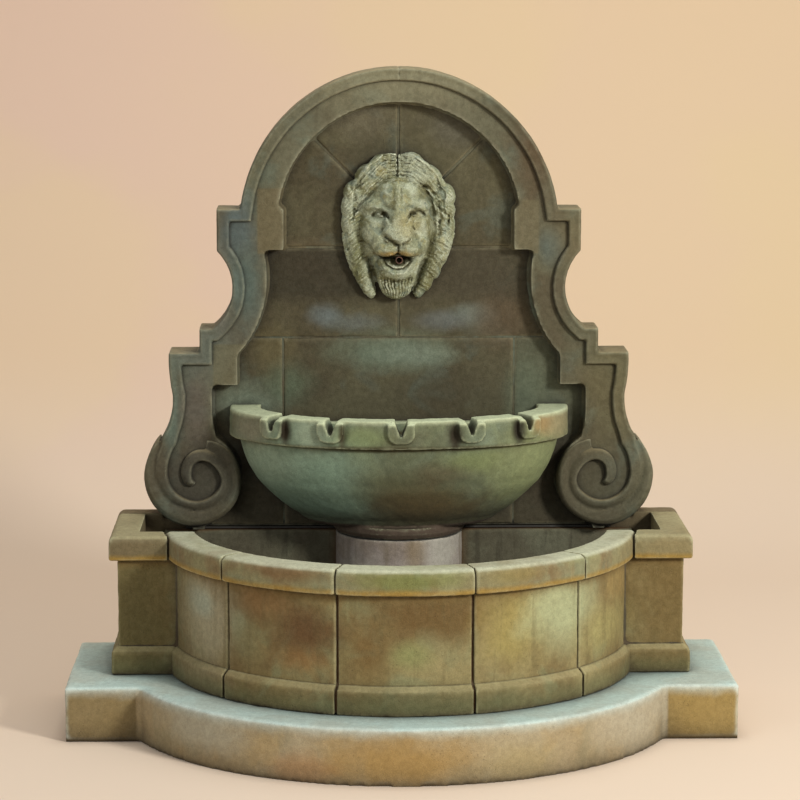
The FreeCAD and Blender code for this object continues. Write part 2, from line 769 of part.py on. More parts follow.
def make_panel():
    band_y, moulding_y = -s.bandDepth, -(s.bandDepth + s.mouldingRise)
    outline = mirrored_face(panel_outline(moulding_y))
    inner_line = outline.makeOffset2D(-s.mouldingWidth, 0)
    rim = outline.cut([inner_line, mirrored_face(field_outline(moulding_y))])
    moulding = slab(rim, s.bandDepth + s.mouldingRise, s.bandDepth)
    body = slab(mirrored_face(panel_outline(band_y)), s.bandDepth, 0)
    sunk = slab(mirrored_face(field_outline(band_y)), s.bandDepth, s.fieldDepth)
    back_face = mirrored_face(field_outline(-s.panelRecess)).makeOffset2D(-s.panelRecessMargin, 0)
    recess = slab(back_face, s.panelRecess, 0)
    foot = value(PANEL_FOOT)
    chase_half = s.hoseRadius + s.hoseClearance
    chase = Part.makeBox(2 * chase_half, s.panelRecess + s.hoseClearance, 2 * s.panelRecessMargin,
                         point(-chase_half, -s.panelRecess - s.hoseClearance, foot))
    tools = [recess, chase]
    tools.append(Part.makeCylinder(s.spoutTubeRadius, s.bandDepth, point(0, -s.bandDepth, s.spoutHeight),
                                   point(0, 1, 0)))
    for sign in (-1, 1):
        tools.append(Part.makeCylinder(s.studRadius, s.bandDepth,
                                       point(sign * s.studHalfSpacing, -s.bandDepth, s.studHeight),
                                       point(0, 1, 0)))
        tools.append(Part.makeCylinder(s.dowelRadius, s.dowelEmbed,
                                       point(sign * s.dowelHalfSpacing, -s.fieldDepth, s.dowelHeight),
                                       point(0, 1, 0)))
        x, z = sign * s.hangerHalfSpacing, s.hangerHeight
        tools.append(Part.makeBox(s.hangerWidth, s.hangerThickness, s.hangerLength,
                                  point(x - s.hangerWidth / 2, -s.hangerThickness, z - s.hangerLength / 2)))
        tools.append(Part.makeCylinder(s.hangerPocketRadius, s.hangerPocketDepth,
                                       point(x, -s.hangerPocketDepth, z), point(0, 1, 0)))
        for up in (-1, 1):
            tools.append(Part.makeCylinder(s.hangerScrewRadius, s.hangerScrewLength,
                                           point(x, -s.hangerScrewLength, z + up * s.hangerScrewOffset),
                                           point(0, 1, 0)))
    for z in clip_heights():
        tools.append(Part.makeCylinder(s.clipScrewRadius, 2 * s.clipThickness,
                                       point(clip_screw_x(), -s.panelRecess - s.clipThickness, z),
                                       point(0, 1, 0)))
    body = body.cut(sunk).fuse([moulding] + [scroll_disc(sign) for sign in (-1, 1)])
    shape_node("back_panel", body.cut(tools + field_joints()).removeSplitter())


def scroll_disc(sign):
    """The volute at the panel's foot: a raised disc with a ring groove and a raised eye."""
    centre = point(sign * s.scrollCentreHalf, -s.bandDepth, s.scrollCentreHeight)
    forward = point(0, -1, 0)
    disc = Part.makeCylinder(s.scrollRadius, s.scrollRise, centre, forward)
    groove_floor = centre + forward * (s.scrollRise / 2)
    groove = Part.makeCylinder(s.scrollGrooveRadius, s.scrollRise, groove_floor, forward)
    core = Part.makeCylinder(s.scrollGrooveRadius - s.scrollGrooveWidth, s.scrollRise, centre, forward)
    eye = Part.makeCylinder(s.scrollEyeRadius, s.scrollEyeRise, centre, forward)
    return disc.cut(groove.cut(core)).fuse(eye)


def clip_heights():
    return [s.clipFirst + i * s.clipSpacing for i in range(int(s.clipCount))]


def clip_screw_x():
    return s.hoseRadius + s.clipWall + 2 * s.clipScrewRadius + s.clipScrewGap


def make_bedding():
    strip = box("bedding_bar", ("-(returnInnerHalf - returnDepth)", "-fieldDepth + hoseClearance", REAR_TOP),
                ("2 * (returnInnerHalf - returnDepth)", "fieldDepth - 2 * hoseClearance", "panelBedding"))
    notch = box("bedding_notch", ("-(hoseRadius + hoseClearance)", "-fieldDepth", REAR_TOP),
                ("2 * (hoseRadius + hoseClearance)", "fieldDepth", "panelBedding"))
    node(cut("bedding_cut", strip, notch), "panel_bedding_strip")


def make_mask():
    """A mask of rounded masses: a ringed mane, brow, cheeks, muzzle, jaw and open mouth."""
    back = -s.fieldDepth
    centre_z = s.maskCentreHeight
    plate_edge = Part.Ellipse(point(0, back, centre_z + s.maskHalfHeight - s.maskPlateInset),
                              point(s.maskHalfWidth - s.maskPlateInset, back, centre_z),
                              point(0, back, centre_z))
    plate = Part.Face(Part.Wire(plate_edge.toShape())).extrude(point(0, -s.maskPlateDepth, 0))

    def ball(radius, x, forward, z):
        return Part.makeSphere(radius, point(x, back - forward, z))

    def ring_of_locks(count, radius, inset, forward):
        locks = []
        for i in range(int(count)):
            turn = 2 * math.pi * (i + 0.5) / count
            x = (s.maskHalfWidth - inset) * math.sin(turn)
            z = centre_z + (s.maskHalfHeight - inset) * math.cos(turn)
            locks.append(ball(radius, x, forward, z))
        return locks

    parts = ring_of_locks(s.maskLocks, s.maskLockRadius, s.maskLockRadius, s.maskLockRadius / 2)
    parts += ring_of_locks(s.innerLocks, s.innerLockRadius, s.innerLockInset, s.maskPlateDepth)
    parts.append(ball(s.browRadius, 0, s.maskPlateDepth, centre_z + s.browRise))
    parts.append(ball(s.muzzleRadius, 0, s.muzzleDepth, s.spoutHeight + s.muzzleRise))
    parts.append(ball(s.jawRadius, 0, s.jawDepth, s.spoutHeight - s.jawRadius))
    chin = point(0, back - s.jawDepth, s.spoutHeight - s.jawRadius)
    parts.append(Part.makeCone(s.jawRadius, s.beardTip, s.beardLength, chin,
                               point(0, math.tan(math.radians(s.beardLeanAngle)), -1)))
    lock_lean = math.tan(math.radians(s.sideLockLeanAngle))
    for sign in (-1, 1):
        parts.append(ball(s.cheekRadius, sign * s.cheekHalfSpacing, s.maskPlateDepth, centre_z))
        lock_top = point(sign * s.sideLockHalf, back - s.maskPlateDepth / 2, s.spoutHeight)
        parts.append(Part.makeCone(s.innerLockRadius, s.sideLockTip, s.sideLockLength, lock_top,
                                   point(-sign * lock_lean, 0, -1)))
    head = plate
    for part in parts:
        head = head.fuse(part)
    behind = Part.makeBox(4 * s.maskHalfWidth, 4 * s.maskHalfWidth, 4 * s.maskHalfHeight,
                          point(-2 * s.maskHalfWidth, back, centre_z - 2 * s.maskHalfHeight))
    mouth = Part.makeBox(s.mouthWidth, 2 * s.muzzleDepth, s.mouthHeight,
                         point(-s.mouthWidth / 2, back - s.maskPlateDepth - 2 * s.muzzleDepth,
                               s.spoutHeight - s.mouthHeight / 2))
    forward = point(0, -1, 0)
    spout = Part.makeCylinder(s.spoutTubeRadius, s.muzzleDepth, point(0, back, s.spoutHeight), forward)
    studs = [Part.makeCylinder(s.studRadius, s.studEmbed,
                               point(sign * s.studHalfSpacing, back, s.studHeight), forward)
             for sign in (-1, 1)]
    shape_node("lion_mask", head.cut([behind, mouth, spout] + studs))


def bowl_point(angle, level, outward=0.0):
    """A place on the rim's oval, its outward direction, both at an angle from the middle."""
    turn = math.radians(angle)
    x = s.bowlHalfWidth * math.sin(turn)
    y = -s.bowlSetback - s.bowlReach * math.cos(turn)
    normal = point(math.sin(turn) / s.bowlHalfWidth, -math.cos(turn) / s.bowlReach, 0)
    normal.normalize()
    return point(x, y, level) + normal * outward, normal


def notch_angles():
    middle = (s.notchCount - 1) / 2
    return [(i - middle) * s.notchAngle for i in range(int(s.notchCount))]


def standing_face(edges_at, angle, outward):
    """Turns an outline drawn in the XZ plane to face the rim's outward direction there."""
    place_, normal = bowl_point(angle, 0, outward)
    turn = FreeCAD.Rotation(point(0, -1, 0), normal)
    face = Part.Face(Part.Wire(edges_at))
    face.Placement = FreeCAD.Placement(place_, turn)
    return face, normal


def make_bowl():
    foot_z = value(PANEL_FOOT)
    foot_top = foot_z + s.footHeight
    outer_low = s.bowlHalfWidth - s.lipStep
    rim_in = s.bowlHalfWidth - s.rimWidth
    bend = s.rimRound
    crown = bend * (1 - math.sqrt(0.5))

    def at(radius, z):
        return point(radius, 0, z)

    neck = at(outer_low, s.rimBottom)
    side = at(s.bowlSideHalf, s.bowlSideHeight)
    low = at(s.bowlLowHalf, s.bowlLowHeight)
    flat = at(s.footRadius, foot_top - s.footLap)
    in_neck = at(rim_in, s.rimBottom)
    in_side = at(s.bowlSideHalf - s.bowlWall, s.bowlSideHeight)
    in_low = at(s.bowlLowHalf - s.bowlWall, s.bowlLowHeight + s.bowlWall)
    in_flat = at(0, foot_top + s.bowlWall)
    outer_wall = [
        line(at(0, flat.z), flat),
        arc(flat, bulge(flat, low, -s.bowlLowSwell), low),
        arc(low, bulge(low, side, -s.bowlSideSwell), side),
        arc(side, bulge(side, neck, -s.bowlNeckSwell), neck)]
    rim = [
        line(neck, at(s.bowlHalfWidth, s.rimBottom)),
        line(at(s.bowlHalfWidth, s.rimBottom), at(s.bowlHalfWidth, s.rimTop - bend)),
        arc(at(s.bowlHalfWidth, s.rimTop - bend),
            at(s.bowlHalfWidth - crown, s.rimTop - crown), at(s.bowlHalfWidth - bend, s.rimTop)),
        line(at(s.bowlHalfWidth - bend, s.rimTop), at(rim_in, s.rimTop))]
    inner_wall = [
        line(at(rim_in, s.rimTop), in_neck),
        arc(in_neck, bulge(in_neck, in_side, s.bowlInnerNeckSwell), in_side),
        arc(in_side, bulge(in_side, in_low, s.bowlInnerSideSwell), in_low),
        line(in_low, in_flat)]
    section = Part.Face(Part.Wire(outer_wall + rim + inner_wall + [line(in_flat, at(0, flat.z))]))
    cavity = Part.Face(Part.Wire(
        [line(at(0, s.rimTop), at(rim_in, s.rimTop))] + inner_wall + [line(in_flat, at(0, s.rimTop))]))
    squeeze = FreeCAD.Matrix()
    squeeze.scale(1, s.bowlReach / s.bowlHalfWidth, 1)
    centre = point(0, -s.bowlSetback, 0)

    def oval(face):
        solid = face.revolve(point(0, 0, 0), point(0, 0, 1), 360).transformGeometry(squeeze)
        solid.translate(centre)
        return solid

    shell = oval(section)
    hollow = oval(cavity)
    panel_face = -s.fieldDepth
    big = 4 * s.bowlHalfWidth
    behind = Part.makeBox(big, big, big, point(-big / 2, panel_face, 0))
    back_wall = Part.makeBox(big, s.bowlWall, s.bowlBackTop - foot_top,
                             point(-big / 2, panel_face - s.bowlWall, foot_top))
    foot_cone = Part.makeCone(s.pedestalRadius, s.footRadius, s.footHeight,
                              point(0, -s.bowlSetback, foot_z))
    foot_block = Part.makeBox(2 * s.pedestalRadius, s.bowlSetback - s.fieldDepth, s.footHeight,
                              point(-s.pedestalRadius, -s.bowlSetback, foot_z))
    bowl = shell.cut(behind).fuse([hollow.common(back_wall), foot_cone.cut(behind).fuse(foot_block)])
    for angle in notch_angles():
        half, corner = s.bossWidth / 2, s.bossCorner
        drop = corner * math.sqrt(0.5)
        top, low_z = s.rimTop - bend, s.bossBottom
        left_arc = point(-half + corner - drop, 0, low_z + corner - drop)
        right_arc = point(half - corner + drop, 0, low_z + corner - drop)
        outline = [
            line(point(-half, 0, top), point(-half, 0, low_z + corner)),
            arc(point(-half, 0, low_z + corner), left_arc, point(-half + corner, 0, low_z)),
            line(point(-half + corner, 0, low_z), point(half - corner, 0, low_z)),
            arc(point(half - corner, 0, low_z), right_arc, point(half, 0, low_z + corner)),
            line(point(half, 0, low_z + corner), point(half, 0, top)),
            line(point(half, 0, top), point(-half, 0, top))]
        face, normal = standing_face(outline, angle, s.bossRise)
        bowl = bowl.fuse(face.extrude(normal * (-s.bossRise - s.lipStep)))
    for angle in notch_angles():
        half = s.notchTopWidth / 2
        top = s.rimTop + bend
        apex = point(0, 0, s.rimTop - s.notchDepth)
        outline = [
            line(point(-half, 0, top), apex),
            line(apex, point(half, 0, top)),
            line(point(half, 0, top), point(-half, 0, top))]
        face, normal = standing_face(outline, angle, 2 * s.bossRise)
        bowl = bowl.cut(face.extrude(normal * (-2 * s.bossRise - s.rimWidth - s.lipStep)))
    holes = [Part.makeCylinder(s.dowelRadius, s.bowlWall,
                               point(sign * s.dowelHalfSpacing, panel_face, s.dowelHeight), point(0, -1, 0))
             for sign in (-1, 1)]
    shape_node("bowl", bowl.cut(holes).removeSplitter())


def make_dowels():
    length = s.bowlWall + s.dowelEmbed
    dowels = [Part.makeCylinder(s.dowelRadius, length,
                                point(sign * s.dowelHalfSpacing, -s.fieldDepth - s.bowlWall, s.dowelHeight),
                                point(0, 1, 0)) for sign in (-1, 1)]
    shape_node("bowl_dowels", Part.makeCompound(dowels))


def half_tube(name, outer, inner, bottom, height, back):
    """A tube's front half with straight sides that run back to the wall behind it."""
    disc = cylinder(name + "_disc", ("0", "-bowlSetback", bottom), outer, height)
    sides = box(name + "_sides", ("-(%s)" % outer, "-bowlSetback", bottom),
                ("2 * (%s)" % outer, "%s + bowlSetback" % back, height))
    front = box(name + "_front", ("-(%s)" % outer, "-bowlSetback - (%s)" % outer, bottom),
                ("2 * (%s)" % outer, outer, height))
    outside = fuse(name + "_outside", common(name + "_half", disc, front), sides)
    bore = cylinder(name + "_bore", ("0", "-bowlSetback", bottom), inner, height)
    gap = box(name + "_gap", ("-(%s)" % inner, "-bowlSetback", bottom),
              ("2 * (%s)" % inner, "bowlSetback", height))
    return cut(name + "_tube", outside, bore, gap)


def make_pedestal():
    height = "(poolWallHeight + rearWallRise + panelBedding - poolFloorThickness - bowlPadThickness)"
    tube = half_tube("pedestal", "pedestalRadius", "pedestalRadius - pedestalWall", FLOOR_TOP, height,
                     "-rearWallThickness")
    ways = box("pedestal_ways",
               ("-pedestalRadius - pedestalWall", "-bowlSetback - waterwayWidth", FLOOR_TOP),
               ("2 * (pedestalRadius + pedestalWall)", "waterwayWidth", "waterwayHeight"))
    node(cut("pedestal_cut", tube, ways), "pedestal")
    pad = half_tube("pad", "pedestalRadius - bowlPadInset", "pedestalRadius - pedestalWall + bowlPadInset",
                    "%s - bowlPadThickness" % PANEL_FOOT, "bowlPadThickness",
                    "-rearWallThickness - bowlPadInset")
    node(pad, "bowl_pad")


def ring(bore, radius, length):
    """Corners of a plain ring or tube's section."""
    return [(bore, "0"), (radius, "0"), (radius, length), (bore, length)]


def make_spout():
    turned("spout_tube", ring("spoutTubeBore", "spoutTubeRadius", "spoutReach + fieldDepth - hoseLine"),
           ("0", "-(spoutReach + fieldDepth)", "spoutHeight"), along="Y")
    turned("spout_washer", ring("spoutTubeRadius", "washerRadius", "washerThickness"),
           ("0", "-panelRecess", "spoutHeight"), along="Y")
    hex_nut("spout_nut", [(0, s.spoutHeight)], s.nutAcrossFlats, s.spoutTubeRadius, s.nutThickness)
    centre = point(0, -s.hoseLine, s.spoutHeight)
    nut_face = -s.panelRecess + s.washerThickness + s.nutThickness
    socket = Part.makeCylinder(s.elbowRadius, -s.hoseLine - nut_face, point(0, nut_face, s.spoutHeight),
                               point(0, 1, 0))
    ball = Part.makeSphere(s.elbowRadius, centre)
    drop = s.elbowRadius + s.barbLength
    barb = Part.makeCylinder(s.nippleRadius, drop, centre, point(0, 0, -1))
    collar = Part.makeCylinder(s.elbowRadius, s.elbowRadius + s.elbowCollar, centre, point(0, 0, -1))
    bore_down = Part.makeCylinder(s.nippleBore, drop, centre, point(0, 0, -1))
    seat = Part.makeCylinder(s.spoutTubeRadius, -s.hoseLine - nut_face, point(0, nut_face, s.spoutHeight),
                             point(0, 1, 0))
    before = Part.makeBox(4 * s.elbowRadius, 4 * s.elbowRadius, 4 * s.elbowRadius,
                          point(-2 * s.elbowRadius, nut_face - 4 * s.elbowRadius,
                                s.spoutHeight - 2 * s.elbowRadius))
    elbow = socket.fuse([ball, barb, collar]).cut([bore_down, seat, before])
    shape_node("hose_elbow", elbow)


def hex_nut(label, places, across_flats, bore, thickness):
    """Nuts that bear on washers on the back of the field, one for each place (x, z)."""
    radius = across_flats / math.sqrt(3)
    front = -s.panelRecess + s.washerThickness
    nuts = []
    for x, z in places:
        corners = [point(x + radius * math.cos(math.radians(60 * i)), front,
                         z + radius * math.sin(math.radians(60 * i))) for i in range(7)]
        nut = Part.Face(Part.makePolygon(corners)).extrude(point(0, thickness, 0))
        nuts.append(nut.cut(Part.makeCylinder(bore, thickness, point(x, front, z), point(0, 1, 0))))
    shape_node(label, Part.makeCompound(nuts) if len(nuts) > 1 else nuts[0])


def make_mask_fixings():
    places = [(sign * s.studHalfSpacing, s.studHeight) for sign in (-1, 1)]
    length = (s.studEmbed + s.fieldDepth - s.panelRecess + s.washerThickness + s.studNutThickness
              + s.studTail)
    studs, washers = [], []
    for x, z in places:
        start, seat = point(x, -s.fieldDepth - s.studEmbed, z), point(x, -s.panelRecess, z)
        studs.append(Part.makeCylinder(s.studRadius, length, start, point(0, 1, 0)))
        disc = Part.makeCylinder(s.studWasherRadius, s.washerThickness, seat, point(0, 1, 0))
        hole = Part.makeCylinder(s.studRadius, s.washerThickness, seat, point(0, 1, 0))
        washers.append(disc.cut(hole))
    shape_node("mask_studs", Part.makeCompound(studs))
    shape_node("mask_stud_washers", Part.makeCompound(washers))
    hex_nut("mask_stud_nuts", places, s.studNutAcrossFlats, s.studRadius, s.studNutThickness)


def hose_path():
    """The hose's middle line: up from the pump, back over the rear wall and up the panel."""
    start_z = hose_start()
    end_z = s.spoutHeight - s.elbowRadius - s.elbowCollar
    bend = s.hoseBend
    y0, y1, level = -s.pumpSetback, -s.hoseLine, s.hoseSlotHeight
    drop = bend * math.sqrt(0.5)
    first = point(0, y0 + bend, level - bend)
    second = point(0, y1 - bend, level + bend)
    edges = [
        line(point(0, y0, start_z), point(0, y0, level - bend)),
        arc(point(0, y0, level - bend), first + point(0, -drop, drop), point(0, y0 + bend, level)),
        line(point(0, y0 + bend, level), point(0, y1 - bend, level)),
        arc(point(0, y1 - bend, level), second + point(0, drop, -drop), point(0, y1, level + bend)),
        line(point(0, y1, level + bend), point(0, y1, end_z))]
    return Part.Wire(edges)


def hose_start():
    return value(PUMP_LEVEL) + s.voluteRadius + s.nippleCollarHeight


def make_hose():
    path = hose_path()
    start = point(0, -s.pumpSetback, hose_start())

    def tube(radius):
        circle = Part.Wire(Part.makeCircle(radius, start, point(0, 0, 1)))
        return path.makePipeShell([circle], True, False)

    hose = tube(s.hoseRadius).cut(tube(s.hoseBore))
    expected = math.pi * (s.hoseRadius ** 2 - s.hoseBore ** 2) * path.Length
    print("hose: length %.0f mm, volume %.1f of %.1f" % (path.Length, hose.Volume, expected))
    shape_node("supply_hose", hose)
    low = hose_start() + s.lowerClampRise
    high = s.spoutHeight - s.elbowRadius - s.elbowCollar - s.upperClampDrop
    clamps = []
    for x, y, z in ((0, -s.pumpSetback, low), (0, -s.hoseLine, high)):
        band = Part.makeCylinder(s.hoseRadius + s.clampThickness, s.clampWidth, point(x, y, z))
        screw = Part.makeBox(s.clampScrewLength, s.clampScrewWidth, s.clampWidth,
                             point(x + s.hoseRadius, y - s.clampScrewWidth / 2, z))
        inside = Part.makeCylinder(s.hoseRadius, s.clampWidth, point(x, y, z))
        clamps.append(band.fuse(screw).cut(inside))
    shape_node("hose_clamps", Part.makeCompound(clamps))


def make_clips():
    reach = s.hoseRadius + s.clipWall
    depth = s.panelRecess - s.hoseLine + reach
    half = s.clipThickness / 2
    clips, screws = [], []
    for z in clip_heights():
        saddle = Part.makeBox(2 * reach, depth - reach, s.clipThickness,
                              point(-reach, -s.panelRecess, z - half))
        crown = Part.makeCylinder(reach, s.clipThickness, point(0, -s.hoseLine, z - half))
        foot = Part.makeBox(clip_screw_x() + 3 * s.clipScrewRadius, s.clipWall, s.clipThickness,
                            point(0, -s.panelRecess, z - half))
        bore = Part.makeCylinder(s.hoseRadius, s.clipThickness, point(0, -s.hoseLine, z - half))
        hole = Part.makeCylinder(s.clipScrewRadius, depth, point(clip_screw_x(), -s.panelRecess, z),
                                 point(0, 1, 0))
        clips.append(saddle.fuse([crown, foot]).cut([bore, hole]))
        head_y = -s.panelRecess + s.clipWall
        shank = Part.makeCylinder(s.clipScrewRadius, s.clipWall + s.clipThickness,
                                  point(clip_screw_x(), -s.panelRecess - s.clipThickness, z), point(0, 1, 0))
        head = Part.makeCylinder(2 * s.clipScrewRadius, s.clipScrewRadius,
                                 point(clip_screw_x(), head_y, z), point(0, 1, 0))
        screws.append(shank.fuse(head))
    shape_node("hose_clips", Part.makeCompound(clips))
    shape_node("clip_screws", Part.makeCompound(screws))


def make_drain():
    depth = "(plinthHeight + poolFloorThickness - drainEnd)"
    at = ("drainX", "-drainSetback", "drainEnd")
    turned("drain_fitting", [
        ("drainBore", "0"), ("drainTubeRadius", "0"), ("drainTubeRadius", depth),
        ("drainFlangeRadius", depth), ("drainFlangeRadius", depth + " + drainFlangeThickness"),
        ("drainBore", depth + " + drainFlangeThickness")], at)
    top = "(%s + drainFlangeThickness + runningGap)" % FLOOR_TOP
    cap = "(plugLength + plugCapThickness)"
    turned("drain_plug", [
        ("0", "0"), ("drainBore - plugTaper", "0"), ("drainBore - runningGap", "plugLength / 2"),
        ("drainBore - runningGap", "plugLength"), ("plugCapRadius", "plugLength"),
        ("plugCapRadius", cap), ("plugKnobRadius", cap),
        ("plugKnobRadius", cap + " + plugKnobHeight"), ("0", cap + " + plugKnobHeight")],
        ("drainX", "-drainSetback", top + " - plugLength"))


def make_grommet():
    turned("cord_grommet", [
        ("cordRadius", "0"), ("grommetFlangeRadius", "0"),
        ("grommetFlangeRadius", "grommetFlangeThickness"), ("grommetRadius", "grommetFlangeThickness"),
        ("grommetRadius", "grommetFlangeThickness + rearWallThickness"),
        ("cordRadius", "grommetFlangeThickness + rearWallThickness")],
        ("grommetX", "-rearWallThickness - grommetFlangeThickness", "grommetHeight"), along="Y")


def make_hangers():
    plates, screws = [], []
    for sign in (-1, 1):
        x, z = sign * s.hangerHalfSpacing, s.hangerHeight
        corner = point(x - s.hangerWidth / 2, -s.hangerThickness, z - s.hangerLength / 2)
        plate = Part.makeBox(s.hangerWidth, s.hangerThickness, s.hangerLength, corner)
        holes = [Part.makeCylinder(s.hangerHoleRadius, s.hangerThickness, point(x, -s.hangerThickness, z),
                                   point(0, 1, 0))]
        for up in (-1, 1):
            seat = point(x, -s.hangerThickness, z + up * s.hangerScrewOffset)
            cone = Part.makeCone(s.hangerScrewRadius, 2 * s.hangerScrewRadius, s.hangerThickness, seat,
                                 point(0, 1, 0))
            holes.append(cone)
            shank_start = seat + point(0, s.hangerThickness - s.hangerScrewLength, 0)
            shank = Part.makeCylinder(s.hangerScrewRadius, s.hangerScrewLength - s.hangerThickness,
                                      shank_start, point(0, 1, 0))
            screws.append(shank.fuse(cone))
        plates.append(plate.cut(holes))
    shape_node("wall_hanger_plates", Part.makeCompound(plates))
    shape_node("hanger_screws", Part.makeCompound(screws))


# The pump lies along X. Distances along its shaft are measured from the nozzle's middle line.
PUMP_Y = "-pumpSetback"
MOTOR_FACE = "(-voluteLength / 2)"


def along_pump(label, corners, start):
    """A turned pump piece on the shaft's line, whose own zero is at the given X."""
    return turned(label, corners, (start, PUMP_Y, PUMP_LEVEL), along="X")


def make_pump_housing():
    block = box("motor_block", ("%s - motorLength" % MOTOR_FACE, "%s - motorWidth / 2" % PUMP_Y,
                                "%s - motorHeight / 2" % PUMP_LEVEL),
                ("motorLength", "motorWidth", "motorHeight"))
    block_round = rounded("motor_round", block, "motorRound",
                          lambda edge: edge.BoundBox.XLength > s.motorLength - 0.01)
    chamber = cylinder("motor_chamber", ("%s - chamberLength" % MOTOR_FACE, PUMP_Y, PUMP_LEVEL),
                       "chamberRadius", "chamberLength", along="X")
    bush_seat = cylinder("motor_bush_seat",
                         ("%s - chamberLength - bushLength" % MOTOR_FACE, PUMP_Y, PUMP_LEVEL),
                         "bushRadius", "bushLength", along="X")
    gland_seat = cylinder("motor_gland_seat", ("%s - motorLength" % MOTOR_FACE, PUMP_Y, PUMP_LEVEL),
                          "cordRadius", "motorLength - chamberLength - 2 * bushLength", along="X")
    stems = []
    for i, (dx, dy) in enumerate(foot_offsets()):
        stems.append(cylinder("motor_foot_seat_%d" % i, (dx, dy, "%s - motorHeight / 2" % PUMP_LEVEL),
                              "footPadStemRadius", "footPadStemRadius"))
    node(cut("motor_cut", block_round, chamber, bush_seat, gland_seat, *stems), "pump_motor_housing")
    turned("pump_cord_gland", [
        ("cordRadius", "0"), ("glandRadius", "0"), ("glandRadius", "glandLength"),
        ("cordRadius", "glandLength")],
        ("%s - motorLength" % MOTOR_FACE, PUMP_Y, PUMP_LEVEL), along="-X")


def foot_offsets():
    """Places of the suction feet under the motor housing."""
    inset = "(footPadRadius + footPadInset)"
    near = "(%s - %s)" % (MOTOR_FACE, inset)
    far = "(%s - motorLength + %s)" % (MOTOR_FACE, inset)
    left = "(%s - motorWidth / 2 + %s)" % (PUMP_Y, inset)
    right = "(%s + motorWidth / 2 - %s)" % (PUMP_Y, inset)
    return [(near, left), (near, right), (far, left), (far, right)]


def make_feet():
    feet = []
    level = value(FLOOR_TOP)
    under = value(PUMP_LEVEL) - s.motorHeight / 2
    for dx, dy in foot_offsets():
        base = point(value(dx), value(dy), level)
        cup = Part.makeCone(s.footPadRadius, s.footPadStemRadius, under - level, base)
        stem = Part.makeCylinder(s.footPadStemRadius, s.footPadStemRadius, point(base.x, base.y, under))
        hollow = Part.makeCone(s.footPadRadius - s.footPadWall, s.footPadHollowTop, (under - level) / 2,
                               base)
        feet.append(cup.fuse(stem).cut(hollow))
    shape_node("pump_suction_feet", Part.makeCompound(feet))


def make_rotor():
    back_plate = "(magnetLength + 2 * runningGap)"
    hub_end = "(magnetLength + impellerThickness)"
    nose = hub_end + " + vaneHeight / 2"
    bore = "shaftRadius + shaftClearance"
    body = along_pump("pump_rotor", [
        (bore, "0"), ("magnetRadius", "0"), ("magnetRadius", back_plate), ("impellerRadius", back_plate),
        ("impellerRadius", hub_end + " + 2 * runningGap"), ("bushRadius", hub_end + " + 2 * runningGap"),
        ("bushRadius", nose), (bore, nose)], "%s - magnetLength - runningGap" % MOTOR_FACE)
    doc.recompute()
    sketch = body.newObject("Sketcher::SketchObject", "vane_outline")
    sketch.AttachmentSupport = [(origin_plane(body, "XY_Plane"), "")]
    sketch.MapMode = "FlatFace"
    sketch.setExpression(".AttachmentOffset.Base.z", bound(hub_end + " + runningGap"))
    x0, x1, half = s.bushRadius - s.vaneInset, s.impellerRadius - s.vaneInset, s.vaneThickness / 2
    corners = [point(x0, -half, 0), point(x1, -half, 0), point(x1, half, 0), point(x0, half, 0)]
    for i in range(4):
        sketch.addGeometry(Part.LineSegment(corners[i], corners[(i + 1) % 4]), False)
    for i in range(4):
        sketch.addConstraint(Sketcher.Constraint("Coincident", i, 2, (i + 1) % 4, 1))
    sketch.addConstraint(Sketcher.Constraint("Horizontal", 0))
    sketch.addConstraint(Sketcher.Constraint("Horizontal", 2))
    sketch.addConstraint(Sketcher.Constraint("Vertical", 1))
    spans = [
        (Sketcher.Constraint("DistanceX", -1, 1, 0, 1, x0), "bushRadius - vaneInset"),
        (Sketcher.Constraint("DistanceX", -1, 1, 0, 2, x1), "impellerRadius - vaneInset"),
        (Sketcher.Constraint("DistanceY", 0, 1, 2, 2, 2 * half), "vaneThickness")]
    for constraint, text in spans:
        index = sketch.addConstraint(constraint)
        sketch.setExpression("Constraints[%d]" % index, bound(text))
    sketch.addConstraint(Sketcher.Constraint("Symmetric", 0, 1, 2, 2, -1))
    vane = body.newObject("PartDesign::Pad", "vane")
    vane.Profile = sketch
    vane.setExpression("Length", bound("vaneHeight"))
    ring_of_vanes = body.newObject("PartDesign::PolarPattern", "vanes")
    ring_of_vanes.Originals = [vane]
    ring_of_vanes.Axis = (sketch, ["N_Axis"])
    ring_of_vanes.Angle = 360
    ring_of_vanes.setExpression("Occurrences", bound("vaneCount"))
    body.Tip = ring_of_vanes


def make_pump_internals():
    make_rotor()
    shaft_start = "(%s - chamberLength - bushLength)" % MOTOR_FACE
    shaft_length = "voluteLength / 2 - %s" % shaft_start
    along_pump("pump_shaft", [("0", "0"), ("shaftRadius", "0"), ("shaftRadius", shaft_length),
                              ("0", shaft_length)], shaft_start)
    along_pump("rear_bush", ring("shaftRadius", "bushRadius", "bushLength"), shaft_start)
    along_pump("front_bush", ring("shaftRadius", "shaftRadius + frontBushWall", "voluteWall"),
               "voluteLength / 2 - voluteWall")


